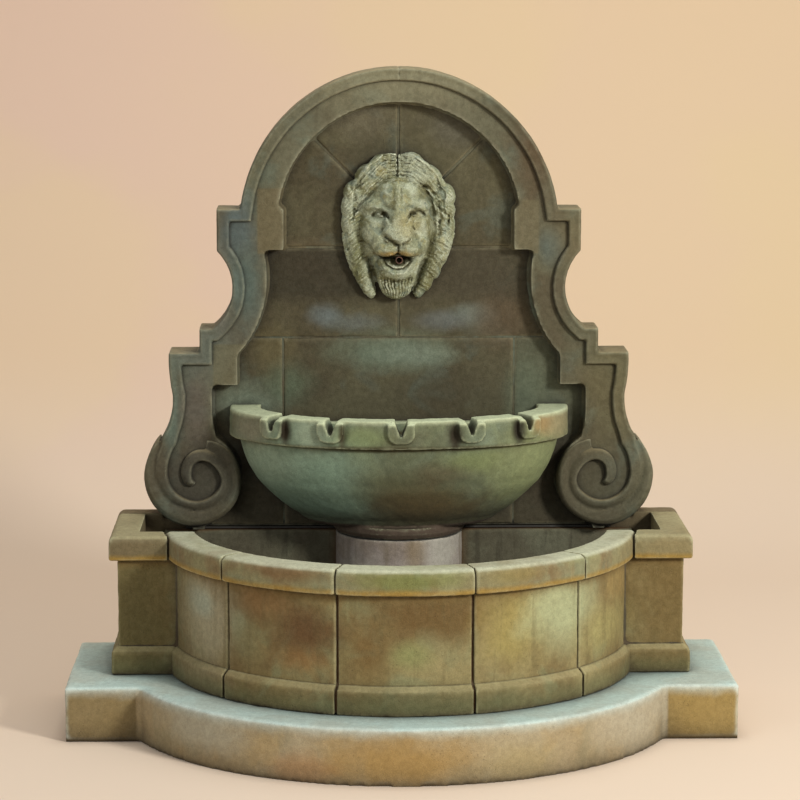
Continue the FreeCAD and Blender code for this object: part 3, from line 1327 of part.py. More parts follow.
def make_volute():
    """The impeller's chamber: a cup with an eye in front and a nozzle on top."""
    centre_y, level = -s.pumpSetback, value(PUMP_LEVEL)
    start = value(MOTOR_FACE)
    axis = point(1, 0, 0)

    def drum(x, radius, length):
        return Part.makeCylinder(radius, length, point(x, centre_y, level), axis)

    cup = drum(start, s.voluteRadius, s.voluteLength)
    neck = Part.makeCylinder(s.nippleCollar, s.voluteRadius, point(0, centre_y, level))
    inside = drum(start, s.voluteRadius - s.voluteWall, s.voluteLength - s.voluteWall)
    eye = drum(start, s.voluteEye, s.voluteLength)
    throat = Part.makeCylinder(s.nippleRadius, s.voluteRadius, point(0, centre_y, level))
    wall_x = start + s.voluteLength - s.voluteWall
    spokes = [drum(wall_x, s.shaftRadius + s.spokeHub, s.voluteWall)]
    reach = s.voluteEye + s.spokeLap
    for turn in (0, 90):
        bar = Part.makeBox(s.voluteWall, 2 * reach, s.spokeWidth,
                           point(wall_x, centre_y - reach, level - s.spokeWidth / 2))
        bar.rotate(point(wall_x, centre_y, level), axis, turn)
        spokes.append(bar)
    hole = drum(wall_x, s.shaftRadius + s.frontBushWall, s.voluteWall)
    solid = cup.fuse(neck).cut([inside, eye, throat]).fuse(spokes).cut(hole)
    shape_node("pump_volute", solid)
    collar_top = "nozzleSeat + nippleCollarHeight"
    nozzle_top = collar_top + " + nippleHeight"
    turned("pump_nozzle", [
        ("nippleBore", "0"), ("nippleRadius", "0"), ("nippleRadius", "nozzleSeat"),
        ("nippleCollar", "nozzleSeat"), ("nippleCollar", collar_top), ("nippleRadius", collar_top),
        ("nippleRadius", nozzle_top), ("nippleBore", nozzle_top)],
        ("0", PUMP_Y, "%s + voluteRadius - nozzleSeat" % PUMP_LEVEL))


def make_cover():
    """The slotted intake cover slides over the volute's front and carries the flow dial."""
    centre_y, level = -s.pumpSetback, value(PUMP_LEVEL)
    start = s.voluteLength / 2 - s.coverLap
    length = s.coverLap + s.coverLength
    outer = s.voluteRadius + s.coverClearance + s.coverWall
    axis = point(1, 0, 0)

    def drum(x, radius, span):
        return Part.makeCylinder(radius, span, point(x, centre_y, level), axis)

    cup = drum(start, outer, length)
    inside = drum(start, s.voluteRadius + s.coverClearance, length - s.coverWall)
    gap_half = s.nippleCollar + s.coverNeckGap
    neck_gap = Part.makeBox(gap_half - start, 2 * gap_half, 2 * outer,
                            point(start, centre_y - gap_half, level))
    stem_hole = drum(start, s.dialStemRadius + s.runningGap, 2 * length)
    slots = []
    count = int(s.coverSlots)
    for i in range(count):
        slot = Part.makeBox(s.coverLength - 2 * s.coverSlotMargin, s.coverSlotWidth, outer,
                            point(start + s.coverLap + s.coverSlotMargin,
                                  centre_y - s.coverSlotWidth / 2, level))
        slot.rotate(point(0, centre_y, level), axis, 360 * (i + 0.5) / count)
        slots.append(slot)
    shape_node("strainer_cover", cup.cut([inside, neck_gap, stem_hole] + slots))
    face = "dialStemLength + runningGap"
    grip = face + " + dialThickness"
    along_pump("flow_dial", [
        ("0", "0"), ("dialStemRadius", "0"), ("dialStemRadius", face), ("dialRadius", face),
        ("dialRadius", grip), ("dialGrip", grip), ("dialGrip", grip + " + dialGrip"),
        ("0", grip + " + dialGrip")], "voluteLength / 2 + coverLength - dialStemLength")


make_plinth()
make_pool()
make_bow_coping()
make_arm_coping("left", -1)
make_arm_coping("right", 1)
make_panel()
make_bedding()
make_mask()
make_mask_fixings()
make_bowl()
make_dowels()
make_pedestal()
make_spout()
make_hose()
make_clips()
make_drain()
make_grommet()
make_hangers()
make_pump_housing()
make_feet()
make_pump_internals()
make_volute()
make_cover()

doc.recompute()

faults = [obj.Label for obj in doc.Objects if {"Invalid", "Error"} & set(obj.State)]
for obj in nodes:
    if obj.Shape.isNull() or not obj.Shape.isValid() or not obj.Shape.Solids:
        faults.append("shape of " + obj.Label)
if faults:
    raise RuntimeError("not built: " + ", ".join(faults))

os.makedirs("parts", exist_ok=True)
for obj in nodes:
    obj.Shape.exportStep(os.path.join("parts", obj.Label + ".step"))
print("%d nodes written" % len(nodes))
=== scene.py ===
# Garden wall fountain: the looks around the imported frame. Metres, front at -Y, up at +Z.
import json
import math

import bmesh
import bpy
import numpy
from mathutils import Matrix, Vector


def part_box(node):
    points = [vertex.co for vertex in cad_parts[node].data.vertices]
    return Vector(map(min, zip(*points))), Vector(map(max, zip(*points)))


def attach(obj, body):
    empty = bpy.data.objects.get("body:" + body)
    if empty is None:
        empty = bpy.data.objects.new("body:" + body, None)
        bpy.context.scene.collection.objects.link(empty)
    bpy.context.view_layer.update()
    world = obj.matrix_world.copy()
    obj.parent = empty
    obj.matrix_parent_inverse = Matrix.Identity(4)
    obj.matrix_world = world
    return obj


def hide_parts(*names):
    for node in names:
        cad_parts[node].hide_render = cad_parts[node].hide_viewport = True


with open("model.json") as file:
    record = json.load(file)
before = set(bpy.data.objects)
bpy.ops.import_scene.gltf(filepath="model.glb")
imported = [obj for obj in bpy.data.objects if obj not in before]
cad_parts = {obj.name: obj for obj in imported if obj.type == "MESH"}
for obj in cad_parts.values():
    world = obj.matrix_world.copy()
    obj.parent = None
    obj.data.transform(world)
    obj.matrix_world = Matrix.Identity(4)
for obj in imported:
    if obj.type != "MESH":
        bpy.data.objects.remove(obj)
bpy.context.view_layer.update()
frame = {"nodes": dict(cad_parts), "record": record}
nodes = frame["nodes"]
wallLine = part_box("back_panel")[1].y  # the backs of panel, pool and plinth lie on it


# working habits that every piece shares
mergeReach = 1e-5


def deselectAll():
    if bpy.context.object and bpy.context.object.mode != "OBJECT":
        bpy.ops.object.mode_set(mode="OBJECT")
    bpy.ops.object.select_all(action="DESELECT")


def choose(piece):
    deselectAll()
    piece.select_set(True)
    bpy.context.view_layer.objects.active = piece


def takeNew(name):
    piece = bpy.context.object
    piece.name = name
    piece.data.name = name
    return piece


def addModifier(piece, kind, **settings):
    modifier = piece.modifiers.new(kind.lower(), kind)
    for key, setting in settings.items():
        setattr(modifier, key, setting)
    return modifier


def applyModifiers(piece):
    choose(piece)
    for modifier in list(piece.modifiers):
        bpy.ops.object.modifier_apply(modifier=modifier.name)


def openMesh(piece):
    # Edit mode begins with everything selected.
    choose(piece)
    bpy.ops.object.mode_set(mode="EDIT")
    bpy.ops.mesh.select_all(action="SELECT")


def closeMesh():
    # Edit mode ends with every face turned outward.
    bpy.ops.mesh.select_all(action="SELECT")
    bpy.ops.mesh.normals_make_consistent(inside=False)
    bpy.ops.object.mode_set(mode="OBJECT")


def mergeMesh(piece):
    openMesh(piece)
    bpy.ops.mesh.remove_doubles(threshold=mergeReach)
    closeMesh()


def applyPlace():
    bpy.ops.object.transform_apply(location=True, rotation=True, scale=True)


def block(name, low, high):
    # A box between two corners.
    deselectAll()
    bpy.ops.mesh.primitive_cube_add(size=1, location=[(a + b) / 2 for a, b in zip(low, high)],
                                    scale=[b - a for a, b in zip(low, high)])
    applyPlace()
    return takeNew(name)


def joinPieces(pieces, name):
    deselectAll()
    for piece in pieces:
        piece.select_set(True)
    bpy.context.view_layer.objects.active = pieces[0]
    bpy.ops.object.join()
    return takeNew(name)


def settle(piece, material, replaced, body="fountain", smoothAngle=50):
    # Every finished piece: place in its mesh, smooth shading, material and body.
    choose(piece)
    applyPlace()
    bpy.ops.object.shade_smooth_by_angle(angle=math.radians(smoothAngle))
    piece.data.materials.clear()
    piece.data.materials.append(material)
    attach(piece, body)
    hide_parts(*replaced)


def skinOver(piece, voxel, rounding):
    # Everything in the piece becomes one closed skin with softened edges.
    addModifier(piece, "REMESH", mode="VOXEL", voxel_size=voxel, use_smooth_shade=True)
    addModifier(piece, "SMOOTH", factor=0.5, iterations=rounding)
    applyModifiers(piece)


def swell(piece, waves):
    # Faces rise and dip by cloud patterns; waves holds the size and height of each.
    for number, (size, height) in enumerate(waves):
        texture = bpy.data.textures.new("%sWave%d" % (piece.name, number), "CLOUDS")
        texture.noise_scale = size
        texture.noise_depth = 2
        addModifier(piece, "DISPLACE", texture=texture, strength=height, mid_level=0.5,
                    texture_coords="LOCAL")
    applyModifiers(piece)


def weather(piece, voxel, waves, rounding=1):
    # Old cast stone: edges soften and faces swell and dip a little.
    skinOver(piece, voxel, rounding)
    swell(piece, waves)


def drawIn(piece, depth):
    # The whole skin moves inward, so the stones in front of it stand clear.
    addModifier(piece, "DISPLACE", strength=-depth, mid_level=0)
    applyModifiers(piece)


def readSpots(piece):
    spots = numpy.empty(len(piece.data.vertices) * 3)
    piece.data.vertices.foreach_get("co", spots)
    return spots.reshape(-1, 3)


def writeSpots(piece, spots):
    piece.data.vertices.foreach_set("co", spots.reshape(-1))
    piece.data.update()


def keepInside(piece, nodeName):
    # Worn faces never pass the box of the CAD stone.
    low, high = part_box(nodeName)
    writeSpots(piece, numpy.clip(readSpots(piece), tuple(low), tuple(high)))


def copyOfNode(nodeName, pieceName):
    piece = bpy.data.objects.new(pieceName, nodes[nodeName].data.copy())
    bpy.context.scene.collection.objects.link(piece)
    mergeMesh(piece)
    return piece


# materials: tones are red, green and blue from 0 to 255, and patterns read Object coordinates
paint = {}  # the node tree in work, and the place that its patterns read


def addNode(kind, feeds=None, **settings):
    node = paint["tree"].nodes.new("ShaderNode" + kind)
    for key, setting in settings.items():
        setattr(node, key, setting)
    for socket, feed in (feeds or {}).items():
        if isinstance(feed, bpy.types.NodeSocket):
            link(feed, node, socket)
        else:
            node.inputs[socket].default_value = feed
    return node


def link(feed, node, socket):
    paint["tree"].links.new(feed, node.inputs[socket])


def linear(red, green, blue):
    def channel(level):
        level /= 255
        return level / 12.92 if level <= 0.04045 else ((level + 0.055) / 1.055) ** 2.4
    return (channel(red), channel(green), channel(blue), 1.0)


def newMaterial(name):
    material = bpy.data.materials.new(name)
    material.use_nodes = True
    paint["tree"] = material.node_tree
    paint["tree"].nodes.clear()
    output = addNode("OutputMaterial")
    shader = addNode("BsdfPrincipled")
    link(shader.outputs[0], output, 0)
    paint["place"] = addNode("TexCoord").outputs["Object"]
    return material, shader


def noise(scale, detail=4, distortion=0.0, roughness=0.55, place=None):
    return addNode("TexNoise", {"Vector": place or paint["place"], "Scale": scale, "Detail": detail,
                   "Distortion": distortion, "Roughness": roughness}).outputs["Fac"]


def mapped(kind, **settings):
    # The place, moved or stretched.
    return addNode("Mapping", {"Vector": paint["place"], **settings}, vector_type=kind).outputs[0]


def ranged(feed, low, high, toLow=0.0, toHigh=1.0):
    return addNode("MapRange", {"Value": feed, "From Min": low, "From Max": high, "To Min": toLow,
                   "To Max": toHigh}, interpolation_type="SMOOTHSTEP").outputs[0]


def calculate(operation, first, second):
    return addNode("Math", {0: first, 1: second}, operation=operation).outputs[0]


def times(first, second):
    return calculate("MULTIPLY", first, second)


def along(axis, feed=None):
    return addNode("SeparateXYZ", {0: feed or paint["place"]}).outputs[axis]


def blend(amount, first, second, kind="MIX"):
    mix = addNode("Mix", {"Factor": amount}, data_type="RGBA", blend_type=kind)
    for slotNumber, tone in ((6, first), (7, second)):
        if isinstance(tone, bpy.types.NodeSocket):
            link(tone, mix, slotNumber)
        else:
            mix.inputs[slotNumber].default_value = linear(*tone)
    return mix.outputs[2]


photoLook = {"middle": 397.5, "foot": 718, "footHeight": 0.116, "across": 0.0021, "up": 0.97 * 0.0021}


def seenAt(column, row):
    # The x and z of a spot on the front, named by its column and row in the photograph.
    look = photoLook
    return (column - look["middle"]) * look["across"], look["footHeight"] + (look["foot"] - row) * look["up"]


# what all stones share, where a stone's own look says nothing else; lengths in metres
commonLook = {"grain": 560, "speckle": 0.14, "mottle": 0.12, "pits": 150, "pitShade": 0.35, "relief": 0.0012,
              "ragged": 13, "mottleScale": 85, "edgeBreakScale": 26, "dustScale": 9, "pittedScale": 14,
              "streakScale": (46, 46, 5), "stainDepth": 4, "patchEdge": 0.003, "topFade": 0.02,
              "cleanFloor": (0.004, 0.014)}


def stoneMaterial(name, ownLook):
    look = {**commonLook, **ownLook}
    material, shader = newMaterial(name)
    normals = addNode("NewGeometry")
    height = along("Z")
    ragged = noise(look["ragged"], 6, 0.5)
    colour = look["base"]
    # broad clouds of colour: (tone, scale, cut from, cut to, amount)
    for number, (tone, scale, low, high, amount) in enumerate(look["clouds"]):
        cloud = noise(scale, 6, 0.5, place=mapped("POINT", Location=(number * 3.7, number * 1.9, 0)))
        colour = blend(ranged(cloud, low, high, 0, amount), colour, tone)
    # stains and painted shade that belong to one place, at any depth: (tone, place (x, z), reach across,
    # reach up, amount)
    for tone, (x, z), across, up, amount in look.get("stains", ()):
        spread = mapped("TEXTURE", Location=(x, 0, z), Scale=(across, look["stainDepth"], up))
        distance = addNode("VectorMath", {0: spread}, operation="LENGTH").outputs["Value"]
        edge = calculate("ADD", distance, times(ragged, 0.9))
        colour = blend(ranged(edge, 1.65, 0.65, 0, amount), colour, tone)
    # tone of one stone, or a painted shadow: (tone, left, right, low, high, amount)
    sideways, soft = along("X"), look["patchEdge"]
    for tone, left, right, low, high, amount in look.get("patches", ()):
        inside = ranged(sideways, left - soft, left + soft, 0, amount)
        for feed, outer, inner in ((sideways, right + soft, right - soft), (height, high + soft, high - soft),
                                   (height, low - soft, low + look.get("patchFade", soft))):
            inside = times(inside, ranged(feed, outer, inner))
        colour = blend(inside, colour, tone)
    # rain marks: (tone, amount)
    if "streaks" in look:
        tone, amount = look["streaks"]
        streak = noise(1.0, 5, 0.4, place=mapped("POINT", Scale=look["streakScale"]))
        colour = blend(ranged(streak, 0.5, 0.7, 0, amount), colour, tone)
    # damp, dirt, algae and some painted shade and light, each with a wavy edge: (tone, height where it's
    # clean, height where it's full, amount)
    for tone, clean, full, amount in look.get("tides", ()):
        reach = abs(full - clean)
        wavy = calculate("ADD", height, times(ragged, reach * 0.8))
        colour = blend(ranged(wavy, clean + reach * 0.4, full + reach * 0.4, 0, amount), colour, tone)
    # paler upward faces, partly settled dust and partly painted light from the sky: (tone, amount)
    if "top" in look:
        upward = along("Z", normals.outputs["Normal"])
        tone, amount = look["top"]
        topLightAndDust = ranged(upward, 0.35, 0.9, 0, amount)
        if "topFrom" in look:
            topLightAndDust = times(topLightAndDust, ranged(height, look["topFrom"] - look["topFade"], look["topFrom"]))
        broken = ranged(noise(look["dustScale"], 4, 0.3), 0.3, 0.62, 0.45, 1)
        colour = blend(times(topLightAndDust, broken), colour, tone)
    # painted shade and grime in hollows and under ledges, from ambient occlusion: (tone, amount, reach)
    shadeAndDirt, amount, reach = look["grimeAndShade"]
    hollow = addNode("AmbientOcclusion", {"Distance": reach}, samples=8).outputs["AO"]
    colour = blend(ranged(hollow, 0.25, 0.92, amount, 0), colour, shadeAndDirt)
    # paler edges, partly wear and partly painted highlight, none at the floor: (tone, amount)
    tone, amount = look["edge"]
    wearAndHighlight = ranged(normals.outputs["Pointiness"], 0.505, 0.58, 0, amount)
    worn = times(wearAndHighlight, ranged(noise(look["edgeBreakScale"]), 0.34, 0.56, 0.25, 1))
    colour = blend(times(worn, ranged(height, *look["cleanFloor"])), colour, tone)
    # mottling, sandy grain and pits
    grain = noise(look["grain"], 3, 0.0, 0.7)
    mottle = noise(look["mottleScale"], 6, 0.3, 0.7)
    shade = addNode("CombineColor")
    level = times(ranged(grain, 0.3, 0.7, 1 - look["speckle"], 1 + look["speckle"]),
                  ranged(mottle, 0.3, 0.7, 1 - look["mottle"], 1 + look["mottle"]))
    for channel in ("Red", "Green", "Blue"):
        link(level, shade, channel)
    colour = blend(1.0, colour, shade.outputs[0], "MULTIPLY")
    pits = addNode("TexVoronoi", {"Vector": paint["place"], "Scale": look["pits"]}).outputs["Distance"]
    pitted = times(ranged(pits, 0.24, 0.06), ranged(noise(look["pittedScale"], 3), 0.48, 0.64))
    colour = blend(times(pitted, look["pitShade"]), colour, shadeAndDirt)
    link(colour, shader, "Base Color")
    link(ranged(mottle, 0.3, 0.7, 0.93, 0.76), shader, "Roughness")
    relief = calculate("SUBTRACT", times(grain, 0.6), pitted)
    uneven = calculate("ADD", relief, times(mottle, 1.1))
    bump = addNode("Bump", {"Height": uneven, "Distance": look["relief"], "Strength": 0.7})
    link(bump.outputs[0], shader, "Normal")
    return material


def plainMaterial(name, look):
    # Fittings: a fine two-tone grain, scuffs and a bump, so no surface is one flat colour.
    material, shader = newMaterial(name)
    fine = noise(look["scale"], place=mapped("POINT", Scale=look.get("stretch", (1, 1, 1))))
    colour = blend(ranged(fine, 0.35, 0.65), look["base"], look["second"])
    worn = ranged(noise(25, 5, 0.8), 0.55, 0.7, 0, look.get("wearAmount", 0.5))
    link(blend(worn, colour, look["wear"]), shader, "Base Color")
    link(ranged(fine, 0.3, 0.7, look["gloss"] - 0.08, look["gloss"] + 0.1), shader, "Roughness")
    shader.inputs["Metallic"].default_value = look.get("metal", 0.0)
    shader.inputs["Transmission Weight"].default_value = look.get("clear", 0.0)
    link(addNode("Bump", {"Height": fine, "Distance": 0.0002, "Strength": 0.4}).outputs[0], shader, "Normal")
    return material


# the stones' looks; the notes in stoneMaterial say what each row holds
grimeAndShadeTone = (34, 28, 14)
plinthStone = stoneMaterial("plinthStone", {
    "base": (155, 137, 101),
    "clouds": (((167, 155, 126), 3, 0.4, 0.65, 0.8), ((132, 124, 93), 7, 0.45, 0.7, 0.6),
     ((169, 144, 96), 11, 0.5, 0.72, 0.5)),
    "stains": (((155, 124, 67), seenAt(395, 752), 0.19, 0.07, 0.9),
     ((167, 121, 72), seenAt(300, 765), 0.08, 0.05, 0.5),
     ((164, 160, 139), seenAt(205, 730), 0.12, 0.07, 0.8),
     ((169, 160, 136), seenAt(625, 735), 0.12, 0.08, 0.8),
     ((155, 137, 89), seenAt(505, 760), 0.10, 0.06, 0.6)),
    "patches": (((124, 106, 66), -0.75, -0.553, -0.02, 0.112, 0.85),
     ((148, 122, 60), 0.553, 0.75, -0.02, 0.112, 0.85)),
    # the first tide is a painted highlight, a pale band along the top of the front; the top's pale cyan is
    # partly painted reflection of the sky
    "tides": (((176, 184, 172), 0.088, 0.118, 0.7), ((120, 96, 60), 0.02, -0.012, 0.6)),
    "top": ((180, 201, 192), 0.95), "grimeAndShade": (grimeAndShadeTone, 0.8, 0.08), "edge": ((214, 222, 210), 0.7),
    "speckle": 0.13, "mottle": 0.10, "pits": 160, "pitShade": 0.3})
poolStone = stoneMaterial("poolStone", {
    "base": (123, 108, 66),
    "clouds": (((144, 133, 90), 4, 0.44, 0.62, 0.7), ((102, 82, 46), 6, 0.44, 0.64, 0.7),
     ((126, 128, 91), 10, 0.5, 0.66, 0.6)),
    "stains": (((158, 152, 124), seenAt(205, 640), 0.085, 0.12, 0.85),
     ((160, 168, 148), seenAt(200, 628), 0.035, 0.04, 0.8),
     ((138, 142, 112), seenAt(236, 640), 0.022, 0.03, 0.7),
     ((90, 61, 27), seenAt(306, 638), 0.085, 0.065, 0.9),
     ((128, 98, 56), seenAt(262, 610), 0.06, 0.045, 0.75), ((132, 92, 44), seenAt(300, 668), 0.07, 0.03, 0.5),
     ((72, 70, 40), (0.03, 0.145), 0.30, 0.04, 0.6), ((132, 118, 86), (-0.42, 0.15), 0.09, 0.05, 0.7),
     ((125, 122, 84), seenAt(243, 655), 0.035, 0.06, 0.6), ((98, 74, 32), seenAt(430, 618), 0.16, 0.075, 0.9),
     ((101, 70, 21), seenAt(362, 650), 0.05, 0.07, 0.6),
     ((128, 132, 80), seenAt(405, 658), 0.055, 0.04, 0.75),
     ((151, 137, 77), seenAt(505, 632), 0.09, 0.11, 0.8),
     ((164, 169, 128), seenAt(550, 624), 0.10, 0.10, 0.85),
     ((151, 129, 77), seenAt(612, 618), 0.05, 0.05, 0.8), ((159, 151, 95), seenAt(600, 655), 0.08, 0.06, 0.7),
     ((96, 86, 48), (-0.60, 0.25), 0.19, 0.26, 0.95), ((111, 92, 50), (0.60, 0.27), 0.18, 0.26, 0.95)),
    "streaks": ((96, 84, 48), 0.35),
    # the first tide is a painted shadow under the coping, darkening the top of the wall
    "tides": (((105, 82, 35), 0.335, 0.362, 0.75), ((78, 83, 50), 0.168, 0.128, 0.5)),
    "top": ((170, 160, 116), 0.7), "grimeAndShade": ((52, 38, 14), 0.97, 0.03), "edge": ((190, 184, 138), 0.4)})
# a darker copy of the pool stone for the core: painted shade inside the basin and at the backs of the joints;
# its tides darken it further towards the floor and under the coping
poolDark = stoneMaterial("poolDark", {
    "base": (88, 84, 64),
    "clouds": (((72, 64, 46), 5, 0.42, 0.62, 0.8), ((104, 104, 82), 9, 0.5, 0.66, 0.7)),
    "streaks": ((56, 50, 34), 0.6),
    "tides": (((52, 46, 30), 0.30, 0.22, 0.7), ((38, 32, 20), 0.374, 0.384, 0.95)),
    "grimeAndShade": ((84, 54, 18), 1.0, 0.035), "edge": ((120, 116, 88), 0.4)})
copingLook = {
    "base": (125, 118, 82),
    "clouds": (((141, 138, 99), 5, 0.44, 0.62, 0.7), ((118, 96, 62), 8, 0.46, 0.62, 0.7),
     ((120, 126, 97), 13, 0.5, 0.66, 0.6)),
    "stains": (((112, 84, 48), seenAt(285, 576), 0.11, 0.03, 0.8),
     ((137, 134, 106), seenAt(205, 556), 0.05, 0.03, 0.8),
     ((168, 178, 168), seenAt(184, 538), 0.05, 0.03, 0.8),
     ((110, 117, 60), seenAt(400, 582), 0.13, 0.03, 0.8),
     ((132, 118, 68), seenAt(505, 580), 0.07, 0.025, 0.7),
     ((130, 131, 78), seenAt(570, 566), 0.07, 0.03, 0.7), ((103, 90, 61), (-0.60, 0.39), 0.17, 0.08, 0.9),
     ((131, 117, 79), (0.60, 0.39), 0.17, 0.08, 0.8)),
    "tides": (((150, 118, 40), 0.378, 0.364, 0.85),),
    "top": ((186, 188, 160), 0.85), "grimeAndShade": ((62, 46, 18), 0.95, 0.03), "edge": ((204, 204, 166), 0.45)}
copingStone = stoneMaterial("copingStone", copingLook)
armStone = stoneMaterial("armStone", {**copingLook, "top": ((158, 150, 112), 0.8)})
# a darker copy of the coping stone: painted shade for the rear returns behind the scrolls
returnStone = stoneMaterial("returnStone", {
    "base": (96, 84, 58),
    "clouds": (((118, 104, 74), 6, 0.44, 0.62, 0.7), ((78, 66, 44), 9, 0.46, 0.62, 0.7)),
    "top": ((126, 112, 80), 0.6), "grimeAndShade": ((52, 40, 18), 0.9, 0.03), "edge": ((150, 140, 104), 0.5)})
panelStone = stoneMaterial("panelStone", {
    "base": (88, 85, 62),
    "clouds": (((101, 99, 77), 4, 0.44, 0.64, 0.7), ((76, 66, 44), 6, 0.44, 0.64, 0.7),
     ((90, 99, 83), 10, 0.5, 0.68, 0.7)),
    "stains": (((126, 122, 94), (0, 1.38), 0.30, 0.11, 0.8), ((90, 96, 86), (-0.42, 0.83), 0.12, 0.20, 0.6),
     ((92, 106, 92), (-0.488, 0.64), 0.025, 0.13, 0.8), ((88, 80, 68), (-0.440, 0.65), 0.045, 0.11, 0.8),
     ((79, 92, 90), (-0.345, 1.04), 0.05, 0.09, 0.85), ((81, 95, 86), (-0.330, 0.92), 0.045, 0.11, 0.85),
     ((92, 87, 78), (-0.382, 0.90), 0.022, 0.10, 0.7), ((62, 58, 46), (-0.43, 0.50), 0.13, 0.11, 0.8),
     ((76, 72, 52), (0.43, 0.50), 0.13, 0.11, 0.7), ((81, 66, 41), (0.285, 1.20), 0.06, 0.13, 0.9),
     ((80, 92, 84), (0.325, 1.00), 0.04, 0.05, 0.8), ((106, 97, 67), (0.40, 1.02), 0.10, 0.10, 0.6),
     ((99, 92, 60), (0.46, 0.70), 0.08, 0.16, 0.6)),
    "patches": (((98, 88, 60), -0.303, -0.2, 0.985, 1.125, 0.75), ((104, 96, 68), 0.2, 0.30, 0.985, 1.1, 0.6),
     ((102, 96, 66), -0.40, -0.33, 0.69, 0.79, 0.5)),
    "streaks": ((70, 62, 42), 0.2),
    # painted shade: dark at the panel's foot behind the scrolls
    "tides": (((34, 28, 18), 0.402, 0.392, 0.95),),
    "top": ((146, 132, 96), 0.6), "grimeAndShade": ((24, 20, 9), 0.97, 0.036), "edge": ((152, 150, 124), 0.7),
    "speckle": 0.15, "mottle": 0.13})
fieldStoneLook = stoneMaterial("fieldStoneLook", {
    "base": (75, 70, 47),
    "clouds": (((86, 81, 55), 4, 0.44, 0.62, 0.6), ((64, 56, 34), 6, 0.44, 0.62, 0.7),
     ((79, 84, 69), 9, 0.52, 0.66, 0.6)),
    "stains": (((106, 116, 98), (-0.33, 0.655), 0.10, 0.055, 0.8),
     ((98, 107, 106), (-0.158, 0.846), 0.052, 0.034, 0.7), ((92, 99, 94), (-0.10, 0.832), 0.075, 0.026, 0.6),
     ((108, 118, 108), (0.158, 0.850), 0.058, 0.032, 0.75),
     ((96, 101, 98), (0.095, 0.836), 0.075, 0.028, 0.6), ((98, 110, 90), (-0.02, 0.772), 0.17, 0.052, 0.8),
     ((114, 125, 106), (0.045, 0.762), 0.11, 0.028, 0.65), ((83, 68, 46), (0.22, 0.84), 0.09, 0.08, 0.7),
     ((90, 70, 48), (-0.20, 0.96), 0.09, 0.06, 0.6), ((95, 86, 53), (-0.27, 0.77), 0.06, 0.07, 0.6),
     ((85, 97, 74), (-0.24, 0.70), 0.07, 0.06, 0.7), ((86, 94, 72), (0.27, 0.68), 0.06, 0.09, 0.7),
     ((101, 95, 74), (-0.09, 1.28), 0.12, 0.06, 0.6), ((86, 83, 69), (0.13, 1.26), 0.10, 0.06, 0.6)),
    # the two dark patches from 0.86 to 0.995 are painted shadow beside and below the lion, darker on the
    # left; patchFade softens their lower edge
    "patches": (((88, 96, 76), 0.25, 0.45, 0.55, 0.80, 0.45), ((46, 41, 22), -0.36, 0.0, 0.86, 0.995, 0.9),
     ((60, 54, 36), 0.0, 0.36, 0.86, 0.995, 0.7)),
    "patchFade": 0.045, "streaks": ((60, 52, 36), 0.15),
    "tides": (((60, 52, 36), 0.62, 0.5, 0.6),),
    "grimeAndShade": ((28, 22, 12), 0.85, 0.03), "edge": ((132, 124, 94), 0.55), "speckle": 0.16, "mottle": 0.14})
maskStone = stoneMaterial("maskStone", {
    "base": (140, 144, 112),
    "clouds": (((168, 174, 148), 14, 0.42, 0.6, 0.8), ((108, 106, 66), 24, 0.5, 0.62, 0.8),
     ((182, 188, 164), 48, 0.52, 0.66, 0.5), ((150, 138, 78), 38, 0.57, 0.68, 0.4),
     ((112, 126, 112), 33, 0.54, 0.64, 0.6)),
    "stains": (((132, 142, 122), (-0.035, 1.075), 0.030, 0.03, 0.6),
     ((150, 140, 92), (0.02, 1.05), 0.035, 0.04, 0.6), ((150, 122, 58), (-0.005, 0.986), 0.052, 0.009, 0.85),
     ((98, 98, 54), (-0.088, 0.97), 0.022, 0.10, 0.8), ((96, 92, 46), (0.070, 0.98), 0.020, 0.11, 0.8),
     ((98, 92, 52), (0.055, 1.12), 0.022, 0.03, 0.7), ((46, 46, 22), (-0.036, 1.0715), 0.010, 0.007, 1.0),
     # the stains at height 1.015 are painted shade under the nose, darker on the left
     ((54, 50, 24), (0.031, 1.0725), 0.009, 0.006, 0.95), ((66, 66, 40), (-0.019, 1.015), 0.014, 0.006, 0.9),
     ((76, 74, 40), (0.017, 1.015), 0.008, 0.004, 0.7), ((100, 98, 66), (-0.003, 0.967), 0.036, 0.011, 0.9)),
    "grimeAndShade": ((62, 58, 26), 0.92, 0.017), "edge": ((206, 210, 184), 0.75), "grain": 620, "speckle": 0.32,
    "mottle": 0.2, "pits": 190, "pitShade": 1.0, "relief": 0.003})
